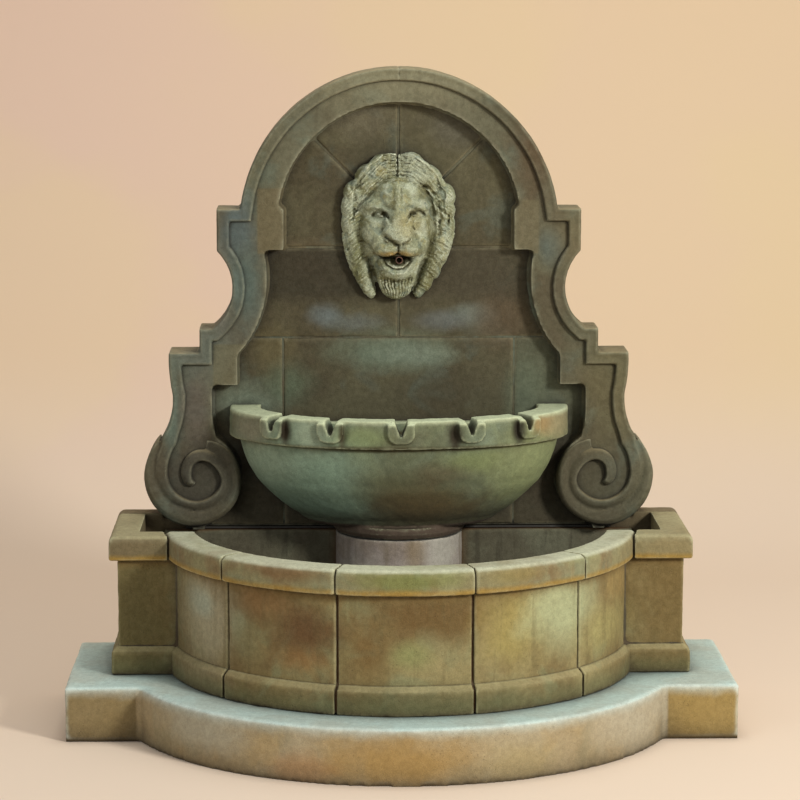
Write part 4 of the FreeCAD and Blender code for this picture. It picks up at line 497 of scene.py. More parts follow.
bowlStone = stoneMaterial("bowlStone", {
    "base": (98, 104, 76),
    "clouds": (((118, 130, 106), 5, 0.44, 0.62, 0.7), ((88, 84, 56), 7, 0.44, 0.64, 0.6),
     ((126, 134, 98), 11, 0.5, 0.68, 0.6)),
    "stains": (((128, 150, 126), (-0.22, 0.50), 0.19, 0.16, 0.9),
     ((150, 166, 140), (-0.30, 0.55), 0.10, 0.06, 0.7), ((112, 134, 112), (-0.15, 0.445), 0.13, 0.05, 0.6),
     ((84, 78, 48), (-0.02, 0.51), 0.10, 0.06, 0.6), ((66, 52, 28), (0.05, 0.445), 0.16, 0.04, 0.8),
     ((92, 78, 46), (0.07, 0.475), 0.15, 0.05, 0.85), ((84, 70, 44), (0.09, 0.54), 0.08, 0.04, 0.6),
     ((119, 129, 81), (0.16, 0.565), 0.10, 0.035, 0.7), ((136, 144, 98), (0.28, 0.54), 0.11, 0.12, 0.8),
     ((166, 132, 82), (0.305, 0.635), 0.032, 0.035, 0.6), ((156, 142, 104), (0.340, 0.63), 0.04, 0.05, 0.6),
     ((134, 128, 104), (-0.32, 0.62), 0.05, 0.05, 0.7), ((146, 158, 132), (-0.19, 0.62), 0.04, 0.05, 0.7),
     ((126, 140, 92), (-0.08, 0.62), 0.07, 0.03, 0.6), ((60, 50, 20), (0, 0.5935), 0.44, 0.009, 0.9),
     ((44, 34, 10), (-0.245, 0.622), 0.015, 0.040, 1.0), ((56, 46, 18), (-0.124, 0.622), 0.010, 0.036, 0.9),
     ((42, 34, 12), (0.112, 0.620), 0.022, 0.042, 1.0), ((32, 26, 8), (0.250, 0.624), 0.018, 0.044, 1.0)),
    # tides: painted shade under the bowl, a paler crest painted as light on the rim's top, and the foot ring
    # in the pedestal's colour, painted darker as shade under the bowl
    "tides": (((64, 58, 34), 0.455, 0.42, 0.6), ((176, 182, 146), 0.641, 0.655, 0.85),
     ((84, 68, 54), 0.418, 0.410, 0.95)),
    "top": ((190, 198, 160), 0.9), "topFrom": 0.60, "grimeAndShade": ((40, 32, 12), 0.95, 0.028),
    "edge": ((190, 196, 156), 0.75)})
pedestalStone = stoneMaterial("pedestalStone", {
    "base": (150, 138, 128),
    "clouds": (((172, 164, 150), 6, 0.44, 0.64, 0.8), ((126, 112, 92), 9, 0.46, 0.66, 0.6)),
    "stains": (((132, 112, 76), (0.035, 0.36), 0.03, 0.06, 0.6),
     ((176, 172, 156), (0.09, 0.36), 0.05, 0.10, 0.7)),
    "streaks": ((110, 98, 74), 0.5), "top": ((190, 184, 170), 0.6), "grimeAndShade": (grimeAndShadeTone, 0.9, 0.05),
    "edge": ((196, 190, 172), 0.6)})
fittingLooks = {
    "rubber": {"base": (46, 43, 38), "second": (57, 53, 47), "wear": (78, 76, 70), "scale": 400,
        "gloss": 0.72},
    "bush_rubber": {"base": (52, 52, 52), "second": (64, 63, 62), "wear": (90, 88, 84), "scale": 500,
        "gloss": 0.6},
    "stainless_steel": {"base": (176, 178, 180), "second": (150, 152, 154), "wear": (120, 112, 98),
        "scale": 220, "gloss": 0.34, "metal": 1.0, "stretch": (1, 1, 12)},
    "copper": {"base": (122, 92, 78), "second": (96, 70, 58), "wear": (98, 112, 92), "scale": 160,
        "gloss": 0.62, "metal": 0.6},
    "brass": {"base": (184, 154, 92), "second": (160, 130, 70), "wear": (112, 110, 72), "scale": 180,
        "gloss": 0.36, "metal": 1.0},
    "grey_plastic": {"base": (92, 96, 98), "second": (104, 108, 109), "wear": (132, 132, 126), "scale": 320,
        "gloss": 0.5},
    "clear_vinyl": {"base": (188, 196, 190), "second": (170, 180, 172), "wear": (150, 156, 132), "scale": 120,
        "gloss": 0.22, "clear": 0.55},
    "black_plastic": {"base": (38, 39, 41), "second": (50, 51, 53), "wear": (92, 94, 90), "scale": 380,
        "gloss": 0.48, "wearAmount": 0.35},
    "rotor_plastic": {"base": (58, 58, 62), "second": (74, 74, 78), "wear": (104, 104, 106), "scale": 300,
        "gloss": 0.45},
    "shaft_ceramic": {"base": (224, 222, 214), "second": (206, 204, 196), "wear": (180, 176, 164),
        "scale": 260, "gloss": 0.25}
}
fittings = {slot: plainMaterial(slot, look) for slot, look in fittingLooks.items()}
stones = {"plinth_stone": plinthStone, "pool_stone": poolStone, "panel_stone": panelStone,
          "mask_stone": maskStone, "bowl_stone": bowlStone, "pedestal_stone": pedestalStone}
for subpart in frame["record"]["subparts"]:
    finish = fittings.get(subpart["material_slot"]) or stones[subpart["material_slot"]]
    nodes[subpart["node"]].data.materials.clear()
    nodes[subpart["node"]].data.materials.append(finish)
print("materials made")

# plinth, pedestal and coping: copies of the CAD stones, worn; waves are (size, height)
copingWear = {"voxel": 0.004, "waves": ((0.07, 0.0014), (0.02, 0.001)), "slot": "pool_stone"}
stoneWear = {
    "plinth_slab": {"piece": "plinthSlab", "voxel": 0.0053, "waves": ((0.12, 0.003), (0.03, 0.0015)),
                    "material": plinthStone, "slot": "plinth_stone"},
    "pedestal": {"piece": "pedestalTube", "voxel": 0.004, "waves": ((0.08, 0.002), (0.02, 0.001)),
                 "material": pedestalStone, "slot": "pedestal_stone"},
}
for place in ("bow_left_outer", "bow_left_inner", "bow_centre", "bow_right_inner", "bow_right_outer",
              "arm_left", "arm_right"):
    stoneWear["coping_" + place] = {**copingWear, "piece": "copingStone_" + place,
                                    "material": armStone if "arm" in place else copingStone}
for nodeName, wear in stoneWear.items():
    piece = copyOfNode(nodeName, wear["piece"])
    weather(piece, wear["voxel"], wear["waves"])
    keepInside(piece, nodeName)
    settle(piece, wear["material"], (nodeName,))

# the rear returns run on behind the scrolls, where the photograph shows a dark surface and no gap; their
# darker colour is painted shade
returnLook = {"outer": 0.53, "inner": 0.398, "back": 0.0025, "depth": 0.046, "lower": 0.012}
for side, place in ((-1, "return_left"), (1, "return_right")):
    nodeName, back = "coping_" + place, wallLine - returnLook["back"]
    low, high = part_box(nodeName)
    near, far = sorted((side * returnLook["inner"], side * returnLook["outer"]))
    tail = block("returnTail", (near, back - returnLook["depth"], low.z),
                 (far, back, high.z - returnLook["lower"]))
    piece = joinPieces([copyOfNode(nodeName, "returnCopy"), tail], "copingStone_" + place)
    weather(piece, copingWear["voxel"], copingWear["waves"], 2)
    spots = readSpots(piece)
    spots[:, 1] = numpy.minimum(spots[:, 1], wallLine)
    writeSpots(piece, spots)
    settle(piece, returnStone, (nodeName,))
print("worn stones made")

# back panel: the frame's body and a moulding that winds into the scrolls
def loftPiece(name, sections):
    # A closed section is extruded to the next one, as by hand; both ends stay filled.
    deselectAll()
    bpy.ops.mesh.primitive_circle_add(vertices=len(sections[0]), fill_type="NGON")
    piece = takeNew(name)
    bpy.ops.object.mode_set(mode="EDIT")
    mesh = bmesh.from_edit_mesh(piece.data)
    mesh.verts.ensure_lookup_table()
    for vertex, spot in zip(mesh.verts, sections[0]):
        vertex.co = spot
    bpy.ops.mesh.select_all(action="SELECT")
    for before, after in zip(sections, sections[1:]):
        bpy.ops.mesh.extrude_region_move()
        targets = {spot.copy().freeze(): target for spot, target in zip(before, after)}
        for vertex in bmesh.from_edit_mesh(piece.data).verts:
            if vertex.select:
                vertex.co = targets[vertex.co.copy().freeze()]
    bmesh.update_edit_mesh(piece.data)
    closeMesh()
    return piece


def smoothAlong(points, at):
    # A smooth line through points (place, height), read at one place.
    for number in range(len(points) - 1):
        if at <= points[number + 1][0] or number == len(points) - 2:
            break
    (x1, y1), (x2, y2) = points[number], points[number + 1]
    x0, y0 = points[max(number - 1, 0)]
    x3, y3 = points[min(number + 2, len(points) - 1)]
    start = (y2 - y0) / (x2 - x0) * (x2 - x1)
    end = (y3 - y1) / (x3 - x1) * (x2 - x1)
    t = min(max((at - x1) / (x2 - x1), 0), 1)
    return ((2 * t ** 3 - 3 * t ** 2 + 1) * y1 + (t ** 3 - 2 * t ** 2 + t) * start
            + (3 * t ** 2 - 2 * t ** 3) * y2 + (t ** 3 - t ** 2) * end)


def arcPoints(start, middle, end, count):
    # Points of the circle through three points (x, z), both ends included.
    ax, az, bx, bz, cx, cz = *start, *middle, *end
    d = 2 * (ax * (bz - cz) + bx * (cz - az) + cx * (az - bz))
    a2, b2, c2 = ax * ax + az * az, bx * bx + bz * bz, cx * cx + cz * cz
    ux = (a2 * (bz - cz) + b2 * (cz - az) + c2 * (az - bz)) / d
    uz = (a2 * (cx - bx) + b2 * (ax - cx) + c2 * (bx - ax)) / d
    radius = math.hypot(ax - ux, az - uz)
    first = math.atan2(az - uz, ax - ux)
    halfway = (math.atan2(bz - uz, bx - ux) - first + math.pi) % (2 * math.pi) - math.pi
    sweep = (math.atan2(cz - uz, cx - ux) - first + math.pi) % (2 * math.pi) - math.pi
    if halfway * sweep < 0:
        sweep += math.copysign(2 * math.pi, halfway)
    return [(ux + radius * math.cos(first + sweep * i / (count - 1)),
             uz + radius * math.sin(first + sweep * i / (count - 1))) for i in range(count)]


panelLook = {
    "top": 1.382, "archRadius": 0.342, "earHalf": 0.390, "earTop": 1.082, "earBottom": 0.992,
    "waistHalf": 0.357, "waistMiddle": 0.9145, "waistFoot": 0.825, "waistFootHalf": 0.400,
    "stepHalf": 0.429, "shoulderTop": 0.773, "shoulderHalf": 0.495, "shoulderMiddle": (0.494, 0.727),
    "flank": (0.487, 0.680), "flankStart": (0.4993, 0.607), "flankMiddle": (0.4895, 0.643),
    "moulding": 0.028, "band": 0.098, "fieldFront": 0.0595, "skin": 0.0015, "bodyVoxel": 0.0062,
    "mouldingVoxel": 0.0028, "mouldingWaves": ((0.05, 0.0014), (0.012, 0.0006)),
    "foot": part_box("back_panel")[0].z}
scrollLook = {
    "poleHalf": 0.4255, "poleHeight": 0.5026,
    # distances from the pole, in millimetres, at angles from the outer side down and round
    "silhouette": ((-44, 122.5), (-20, 124), (0, 126), (45, 121), (75, 114.5), (104, 102.7), (134, 93.9),
                   (177, 84), (226, 81.5), (263, 80.3)),
    "lineOne": ((-51, 126), (-44, 121), (-38, 112.5), (-19, 107), (3, 101.5), (33, 92.5), (60, 81),
                (91, 75.5), (136, 68), (184, 60.5), (227, 56), (276, 59.5), (300, 57), (343, 48), (375, 42),
                (405, 33.5)),
    "lineTwo": ((-51, 87.5), (-21, 77), (21, 68.5), (67, 56), (112, 46), (160, 41.5), (205, 34), (275, 33),
                (306, 29.4), (332, 23.4), (405, 19)),
    "step": 6, "coilTurn": (405, -51), "outerTurn": (-40, 263),
    # in front of the wall: the coil's back, the upper moulding's back and how far the inner edge sinks in
    "coilBack": 0.090, "back": 0.002, "sink": 0.006}


def scrollPoint(side, angle, millimetres):
    turn, reach = math.radians(angle), millimetres / 1000
    return (side * (scrollLook["poleHalf"] + reach * math.cos(turn)),
            scrollLook["poleHeight"] - reach * math.sin(turn))


def stripSection(outer, inner, profile, wall):
    # outer and inner are (x, z); profile is (part of the way in, height over the band).
    def spot(part, height):
        return Vector((outer[0] + (inner[0] - outer[0]) * part, wallLine - height,
                       outer[1] + (inner[1] - outer[1]) * part))
    band = panelLook["band"]
    points = [spot(0, wall)] + [spot(part, band + height) for part, height in profile]
    return points + [spot(1, band - scrollLook["sink"]), spot(0.6, wall)]


def mouldingPairs():
    # The outer and inner line of the right half's moulding, from the scroll to the arch's crown.
    look = panelLook
    arch = look["top"] - look["archRadius"]
    spring = math.sqrt(look["archRadius"] ** 2 - (look["earTop"] - arch) ** 2)
    haunch = (look["archRadius"] * math.sqrt(0.5), arch + look["archRadius"] * math.sqrt(0.5))
    shoulder = (look["shoulderHalf"], look["shoulderTop"])
    line = arcPoints(look["flankStart"], look["flankMiddle"], look["flank"], 5)
    line += arcPoints(look["flank"], look["shoulderMiddle"], shoulder, 5)[1:]
    line += [(look["stepHalf"], look["shoulderTop"]), (look["stepHalf"], look["waistFoot"])]
    line += arcPoints((look["waistFootHalf"], look["waistFoot"]), (look["waistHalf"], look["waistMiddle"]),
                      (look["earHalf"], look["earBottom"]), 12)
    line += [(look["earHalf"], look["earTop"])]
    line += arcPoints((spring, look["earTop"]), haunch, (0, look["top"]), 22)
    pairs = []
    for number, place in enumerate(line):
        before = line[number - 1] if number else None
        after = line[number + 1] if number + 1 < len(line) else (place[0] - 0.01, place[1])
        ways = [Vector((b[0] - a[0], b[1] - a[1])).normalized()
                for a, b in ((before, place), (place, after)) if a]
        normals = [Vector((-way.y, way.x)) for way in ways]
        mitre = sum(normals, Vector((0, 0)))
        if len(normals) == 2:
            mitre /= 1 + normals[0].dot(normals[1])
        inner = Vector(place) + look["moulding"] * mitre
        pairs.append((place, (inner.x, inner.y)))
    return pairs


def scrollStrip(side, outerLine, innerLine, start, end, step):
    count = max(int(abs(end - start) / step), 1)
    angles = [start + (end - start) * number / count for number in range(count + 1)]
    return [(scrollPoint(side, angle, smoothAlong(scrollLook[outerLine], angle)),
             scrollPoint(side, angle, smoothAlong(scrollLook[innerLine], angle))) for angle in angles]


mouldingProfile = ((0, 0.004), (0.05, 0.0085), (0.16, 0.0105), (0.45, 0.0085), (0.82, 0.0105), (0.95, 0.008))
coilProfile = ((0, 0.004), (0.08, 0.006), (0.3, 0.0085), (0.7, 0.0125), (0.88, 0.014), (0.98, 0.009))
outerCoilProfile = ((0, 0.002), (0.12, 0.009), (0.4, 0.014), (0.75, 0.0125), (0.96, 0.0095))


def makePanelFrame():
    look = scrollLook
    for side, name in ((-1, "Left"), (1, "Right")):
        upper = [((side * a[0], a[1]), (side * b[0], b[1])) for a, b in mouldingPairs()]
        coil = scrollStrip(side, "lineOne", "lineTwo", *look["coilTurn"], look["step"])
        sections = []
        for number, (outer, inner) in enumerate(coil):
            # the coil's deeper relief fades into the moulding over its last twelve sections
            fade = min((len(coil) - 1 - number) / 12, 1)
            profile = [(part, low + (high - low) * fade) for (part, low), (_, high)
                       in zip(mouldingProfile, coilProfile)]
            if number < 3:  # and rises at the coil's eye
                profile = [(part, height * (0.45 + 0.18 * number)) for part, height in profile]
            sections.append(stripSection(outer, inner, profile, look["coilBack"]))
        sections += [stripSection(outer, inner, mouldingProfile, look["back"]) for outer, inner in upper]
        moulding = loftPiece("frameMoulding" + name, sections)
        outerCoil = scrollStrip(side, "silhouette", "lineOne", *look["outerTurn"], look["step"])
        sections = []
        for number, (outer, inner) in enumerate(outerCoil):
            rise = min(number / 9, (len(outerCoil) - 1 - number) / 14 + 0.03, 1)  # low at both ends
            profile = [(part, height * rise) for part, height in outerCoilProfile]
            sections.append(stripSection(outer, inner, profile, look["back"]))
        piece = joinPieces([moulding, loftPiece("outerCoil" + name, sections)], "frameScroll" + name)
        weather(piece, panelLook["mouldingVoxel"], panelLook["mouldingWaves"])
        settle(piece, panelStone, ("back_panel",))


def makePanelBody():
    piece = copyOfNode("back_panel", "panelBody")
    front = wallLine - panelLook["band"]
    for vertex in piece.data.vertices:
        vertex.co.y = max(vertex.co.y, front)
    mergeMesh(piece)
    skinOver(piece, panelLook["bodyVoxel"], 1)
    drawIn(piece, panelLook["skin"])
    settle(piece, panelStone, ("back_panel",))


makePanelBody()
makePanelFrame()
print("panel frame made")

# lion mask: rounded masses and locks of hair, joined into one skin and then carved
maskLook = {"centre": 1.043, "field": wallLine - panelLook["fieldFront"], "voxel": 0.00163, "rounding": 4,
            "waves": ((0.02, 0.003), (0.008, 0.0026), (0.0035, 0.0014))}


def onMask(u, v, forward):
    # Millimetres right of, above and in front of the mask's middle on the field.
    return Vector((u / 1000, maskLook["field"] - forward / 1000, maskLook["centre"] + v / 1000))


def mass(place, reach, lean=0.0):
    deselectAll()
    bpy.ops.mesh.primitive_uv_sphere_add(segments=32, ring_count=18, radius=0.001, location=onMask(*place),
                                         rotation=(0, math.radians(lean), 0),
                                         scale=(reach[0], reach[2], reach[1]))
    applyPlace()
    return takeNew("mass")


def lock(path, thickness):
    # A lock of hair: a smooth curve through given points, thick in the middle and pointed.
    curve = bpy.data.curves.new("lock", "CURVE")
    curve.dimensions = "3D"
    curve.bevel_depth = 0.001
    curve.bevel_resolution = 3
    curve.resolution_u = 6
    curve.use_fill_caps = True
    spline = curve.splines.new("NURBS")
    spline.points.add(len(path) - 1)
    spline.use_endpoint_u = True
    spline.order_u = min(4, len(path))
    for point, place, thick in zip(spline.points, path, thickness):
        point.co = (*onMask(*place), 1)
        point.radius = thick
    piece = bpy.data.objects.new("lock", curve)
    bpy.context.scene.collection.objects.link(piece)
    choose(piece)
    bpy.ops.object.convert(target="MESH")
    return bpy.context.object


# masses: place (u, v, forward), half sizes (across, up, deep) and lean
faceMasses = (
    ((-4, -8, 0), (100, 128, 40), 0),     # bed that joins the face and the mane
    ((-5, 24, 16), (76, 86, 48), 0),      # skull
    ((-4, 64, 36), (50, 42, 33), 0),      # forehead
    ((-3, 40, 48), (21, 60, 25), 0),      # ridge from the forehead to the nose
    ((-42, 49, 38), (37, 16, 23), -8),    # brows
    ((36, 49, 38), (35, 16, 23), 8),
    ((-48, -2, 28), (34, 42, 33), 10),    # cheeks
    ((41, 0, 28), (32, 42, 33), -10),
    ((-32, -30, 38), (33, 32, 32), 20),
    ((31, -30, 38), (34, 34, 32), -20),
    ((-3, 8, 52), (32, 46, 27), 0),       # nose
    ((-2, -12, 64), (34, 24, 21), 0),
    ((-2, -24, 72), (30, 11, 13), 0),
    ((-24, -44, 54), (29, 18, 24), -10),  # muzzle
    ((20, -44, 54), (28, 18, 24), 10),
    ((-5, -86, 26), (48, 32, 34), 0),     # jaw and chin
    ((-5, -98, 38), (40, 20, 22), 0),
    ((-6, -124, 20), (36, 34, 22), 0),
)
# lumps of the mane: place and half sizes
maneMasses = (
    ((-94, 68, 12), (25, 30, 26)), ((-101, 40, 12), (23, 34, 25)), ((-102, 6, 12), (22, 34, 25)),
    ((-97, -30, 11), (22, 32, 24)), ((-89, -64, 11), (20, 32, 23)), ((-79, -96, 10), (18, 30, 21)),
    ((-67, -124, 8), (15, 26, 17)), ((-59, -142, 5), (10, 16, 13)),
    ((96, 62, 13), (26, 30, 27)), ((98, 34, 13), (23, 32, 26)), ((99, 2, 12), (22, 32, 25)),
    ((95, -28, 11), (22, 30, 24)), ((85, -58, 11), (22, 30, 23)), ((72, -88, 10), (20, 29, 21)),
    ((56, -116, 8), (17, 26, 17)), ((42, -139, 5), (12, 18, 13)),
    ((-32, 116, 12), (36, 38, 28)), ((24, 118, 12), (36, 40, 28)),
    ((-58, 102, 12), (37, 32, 26)), ((56, 100, 12), (37, 32, 26)),
)


def maneLocks():
    locks = []
    # strands that leave the parting and sweep outward and down over the crown
    for side in (-1, 1):
        for number in range(7):
            start, drop = 149 - 8.5 * number, 6.5 * number
            reach = 1 - 0.045 * number
            locks.append((((side * 3 - 3, start, 28 + number), (side * 26 - 3, start + 4 - drop * 0.35, 38),
                           (side * 54 * reach - 3, 136 - drop * 1.15, 38),
                           (side * 79 * reach, 111 - drop * 1.35, 32),
                           (side * 97 * reach, 78 - drop * 1.5, 25)), (5, 8, 8.5, 8, 5)))
        # wavy locks down the sides, which lie over one another
        for number in range(5):
            top = 90 - 31 * number
            out = 110 - 0.0016 * (top - 20) ** 2
            locks.append((((side * (out - 24), top + 16, 26), (side * (out - 5), top + 6, 30),
                           (side * (out - 1), top - 18, 25), (side * (out - 9), top - 42, 14)),
                          (5, 9.5, 9.5, 3)))
            locks.append((((side * (out - 27), top - 2, 26), (side * (out - 19), top - 14, 29),
                           (side * (out - 17), top - 34, 25), (side * (out - 23), top - 52, 14)),
                          (4, 7, 7, 3)))
    # long side locks that close in under the jaw
    locks.append((((-114, -14, 14), (-108, -58, 15), (-91, -100, 13), (-76, -130, 10), (-62, -152, 6)),
                  (9, 11, 10, 9, 6)))
    locks.append((((-92, -30, 24), (-86, -70, 24), (-72, -106, 20), (-62, -130, 14), (-54, -150, 7)),
                  (7, 9, 9, 8, 6)))
    locks.append((((112, -14, 14), (102, -54, 15), (82, -92, 13), (62, -122, 10), (42, -152, 6)),
                  (9, 11, 10, 9, 6)))
    locks.append((((90, -26, 24), (80, -64, 24), (64, -98, 20), (50, -124, 14), (34, -148, 7)),
                  (7, 9, 9, 8, 6)))
    # soft beds in the channels beside the face
    locks.append((((-48, 92, 22), (-66, 66, 24), (-82, 38, 24), (-88, 4, 23), (-86, -30, 22), (-78, -64, 20),
                   (-66, -98, 16), (-56, -122, 9)), (7, 10, 11, 11, 11, 11, 10, 6)))
    locks.append((((48, 90, 22), (62, 70, 24), (74, 42, 24), (80, 4, 23), (79, -30, 22), (69, -64, 20),
                   (56, -96, 16), (44, -122, 9)), (7, 10, 11, 11, 11, 11, 10, 6)))
    # beard
    for start, end in ((-38, -33), (-28, -26), (-16, -15), (-4, -6), (9, 4), (20, 13), (30, 20)):
        low = -155 + 0.02 * (end + 8) ** 2
        locks.append((((start, -96, 34), (start * 1.06, -116, 34), (end, -136, 25), (end * 0.9 - 1, low, 12)),
                      (8, 9, 8, 4)))
    return locks


# Carving strokes: points (u, v), half width and lift in millimetres; a negative lift cuts.
faceStrokes = (
    # eyes: socket, ball, lid lines, pupil and inner corner
    (((-54, 27), (-28, 30)), 11, -6), (((-44, 28), (-38, 28.5)), 6, 6),
    (((-56, 25), (-47, 34), (-38, 35), (-29, 30), (-23, 21)), 2.4, -4.5),
    (((-60, 30), (-48, 41), (-37, 42), (-26, 36)), 4, 4),
    (((-54, 22), (-44, 19.5), (-34, 20.5), (-27, 24)), 1.8, -2.4), (((-50, 13), (-36, 12), (-28, 16)), 4, 2),
    (((-36, 29), (-32, 28)), 3.4, -10), (((-25, 26), (-19, 13)), 3.4, -5),
    (((50, 28), (24, 31)), 11, -6), (((40, 29), (34, 29.5)), 6, 6),
    (((54, 26), (44, 35), (35, 36), (26, 31), (20, 22)), 2.4, -4.5),
    (((57, 31), (45, 42), (34, 43), (23, 37)), 4, 4),
    (((50, 23), (41, 20.5), (31, 21.5), (24, 25)), 1.8, -2.4), (((47, 14), (33, 13), (24, 17)), 4, 2),
    (((33, 30), (30, 29)), 2.8, -6), (((22, 27), (15, 14)), 3.4, -5),
    # forehead, nose and the folds beside it
    (((-3, 96), (-3, 40)), 8, 3), (((4, 82), (5, 50)), 1.8, -2.4), (((-11, 84), (-13, 58)), 2.4, -1.4),
    (((-36, 66), (-22, 60)), 5, -1.5), (((20, 60), (34, 66)), 5, -1.5),
    (((-32, -4), (-38, -20), (-32, -30)), 5, -2), (((28, -4), (34, -20), (28, -29)), 5, -2),
    (((-28, -20), (-17, -28), (-7, -33)), 4.4, -13), (((8, -33), (16, -30), (22, -25)), 3.0, -6),
    (((-2, -35), (-2, -50)), 2.2, -4),
    (((-38, -24), (-50, -42), (-52, -58)), 4, -2.5), (((34, -22), (44, -42), (46, -56)), 4, -2.5),
    # mouth
    (((-42, -66), (-24, -60), (-3, -57), (20, -60), (34, -66)), 5, 4),
    (((-30, -68), (-14, -67), (-3, -68.5), (10, -67), (20, -69)), 4.5, -24),
    (((-13, -75), (-3, -77), (8, -75)), 6, -14),
    (((-33, -72), (-26, -82), (-13, -89), (-3, -90), (8, -89), (18, -82), (25, -74)), 2, -7),
    (((-40, -72), (-32, -87), (-16, -98), (-3, -100), (10, -98), (24, -86), (32, -72)), 5, 4),
    (((-48, -84), (-42, -100), (-28, -112)), 3, -4), (((40, -84), (33, -100), (20, -112)), 3, -4),
    (((-24, -112), (-4, -117), (17, -112)), 3, -4),
    # channel between the face and the mane, deepest on the right
    (((-46, 92), (-64, 66), (-80, 38), (-86, 4), (-83, -30), (-74, -62), (-60, -96), (-50, -124)), 7, -4.5),
    (((-64, -70), (-56, -108), (-48, -134)), 7, -8),
    (((46, 88), (60, 70), (70, 42), (76, 4), (74, -32), (62, -66), (50, -98), (38, -124)), 7, -6),
    (((54, 84), (68, 56), (74, 24)), 5, -5), (((52, -78), (42, -112), (32, -138)), 7, -7),
)


def hairStrokes():
    strokes = [(((-4, 158), (-5, 118)), 3.4, -4), (((54, 88), (66, 80), (76, 66)), 3.4, -7),
               (((86, 54), (90, 20), (86, -18)), 3.4, -6), (((106, 22), (107, 4)), 3, -7),
               (((-102, 84), (-94, 64)), 3, -5), (((-96, 36), (-99, 16)), 3, -5)]
    for side in (-1, 1):
        # strands of the crown, uneven in run and depth
        for number in range(16):
            low = 3.5 * number
            strokes.append((((side * 4 - 3, 153 - low), (side * 30 - 3, 151 - low * 1.05),
                             (side * 58, 131 - low * 1.12), (side * 80, 105 - low * 1.1),
                             (side * 98, 72 - low * 0.9)), 1.5, -4.2 - math.sin(number * 2.7)))
        # slanting cuts down the sides
        for number in range(26):
            top = 86 - 8.8 * number
            out = 118 - 0.0018 * (top - 20) ** 2 if top > -40 else 112 - 0.55 * (-40 - top)
            out -= 4 if side > 0 and top < -40 else 0
            slant = 9 + 5 * math.sin(number * 2.1)
            strokes.append((((side * (out - 36), top + slant), (side * (out - 18), top + slant * 0.3),
                             (side * (out - 1), top - 14)), 1.7, -1.9 - math.sin(number * 1.9)))
        for number in range(6):
            start = side * (5 + 7 * number) - 5
            strokes.append((((start, -112), (start * 0.9, -134), (start * 0.6 - 2, -158)), 1.6, -3.6))
    return strokes


def strokeLift(strokes, u, v):
    lift = numpy.zeros(len(u))
    for path, width, height in strokes:
        near = numpy.full(len(u), 1e9)
        for (u1, v1), (u2, v2) in zip(path, path[1:]):
            length = (u2 - u1) ** 2 + (v2 - v1) ** 2
            along = numpy.clip(((u - u1) * (u2 - u1) + (v - v1) * (v2 - v1)) / length, 0, 1)
            near = numpy.minimum(near, (u - u1 - along * (u2 - u1)) ** 2 + (v - v1 - along * (v2 - v1)) ** 2)
        lift += height * numpy.exp(-near / width ** 2)
    return lift


def carveMask(piece):
    spots = readSpots(piece)
    u, v = spots[:, 0] * 1000, (spots[:, 2] - maskLook["centre"]) * 1000
    forward = (maskLook["field"] - spots[:, 1]) * 1000
    # the hair's cuts wander and come and go
    swayU = 1.3 * numpy.sin(v * 0.15 + 1) + 0.5 * numpy.sin(v * 0.41 + u * 0.11)
    swayV = 1.3 * numpy.sin(u * 0.13 + 2) + 0.5 * numpy.sin(u * 0.37 - v * 0.13)
    waveU, waveV = u * 0.21 + 2 * numpy.sin(v * 0.17), v * 0.29 + 2 * numpy.sin(u * 0.13)
    patchy = 0.85 + 0.3 * numpy.sin(waveU) * numpy.sin(waveV)
    lift = strokeLift(faceStrokes, u, v) + strokeLift(hairStrokes(), u + swayU, v + swayV) * patchy
    rim = 6  # no cut goes deeper than this in front of the field
    lift = numpy.maximum(lift, rim - forward) * (forward > rim)
    spots[:, 1] = numpy.minimum(spots[:, 1] - lift / 1000, maskLook["field"] + 0.001)
    writeSpots(piece, spots)


def makeMask():
    pieces = [mass(place, reach, lean) for place, reach, lean in faceMasses]
    pieces += [mass(place, reach) for place, reach in maneMasses]
    pieces += [lock(path, thickness) for path, thickness in maneLocks()]
    piece = joinPieces(pieces, "lionMask")
    skinOver(piece, maskLook["voxel"], maskLook["rounding"])
    carveMask(piece)
    swell(piece, maskLook["waves"])
    settle(piece, maskStone, ("lion_mask",), smoothAngle=70)


makeMask()
print("lion mask made")

# field: separate stones with open joints, each a little out of line with the next
fieldLook = {"joint": 0.0019, "back": 0.050, "lower": 0.800, "middle": 0.995, "lowerJoint": 0.250,
             "footHalf": 0.41, "middleHalf": 0.335, "archCentre": 1.048, "archReach": 0.272,
             "footGap": 0.004, "voxel": 0.0042, "waves": ((0.09, 0.0016), (0.02, 0.0006)),
             # how far each stone stands out of line, the rows from below and then the arch
             "shifts": (0.0, 0.0007, -0.0004, 0.0004, -0.0007, 0.0006, -0.0002, 0.0008, -0.0005)}


def bisectAway(piece, place, normal):
    openMesh(piece)
    bpy.ops.mesh.bisect(plane_co=place, plane_no=normal, use_fill=True, clear_outer=True)
    closeMesh()


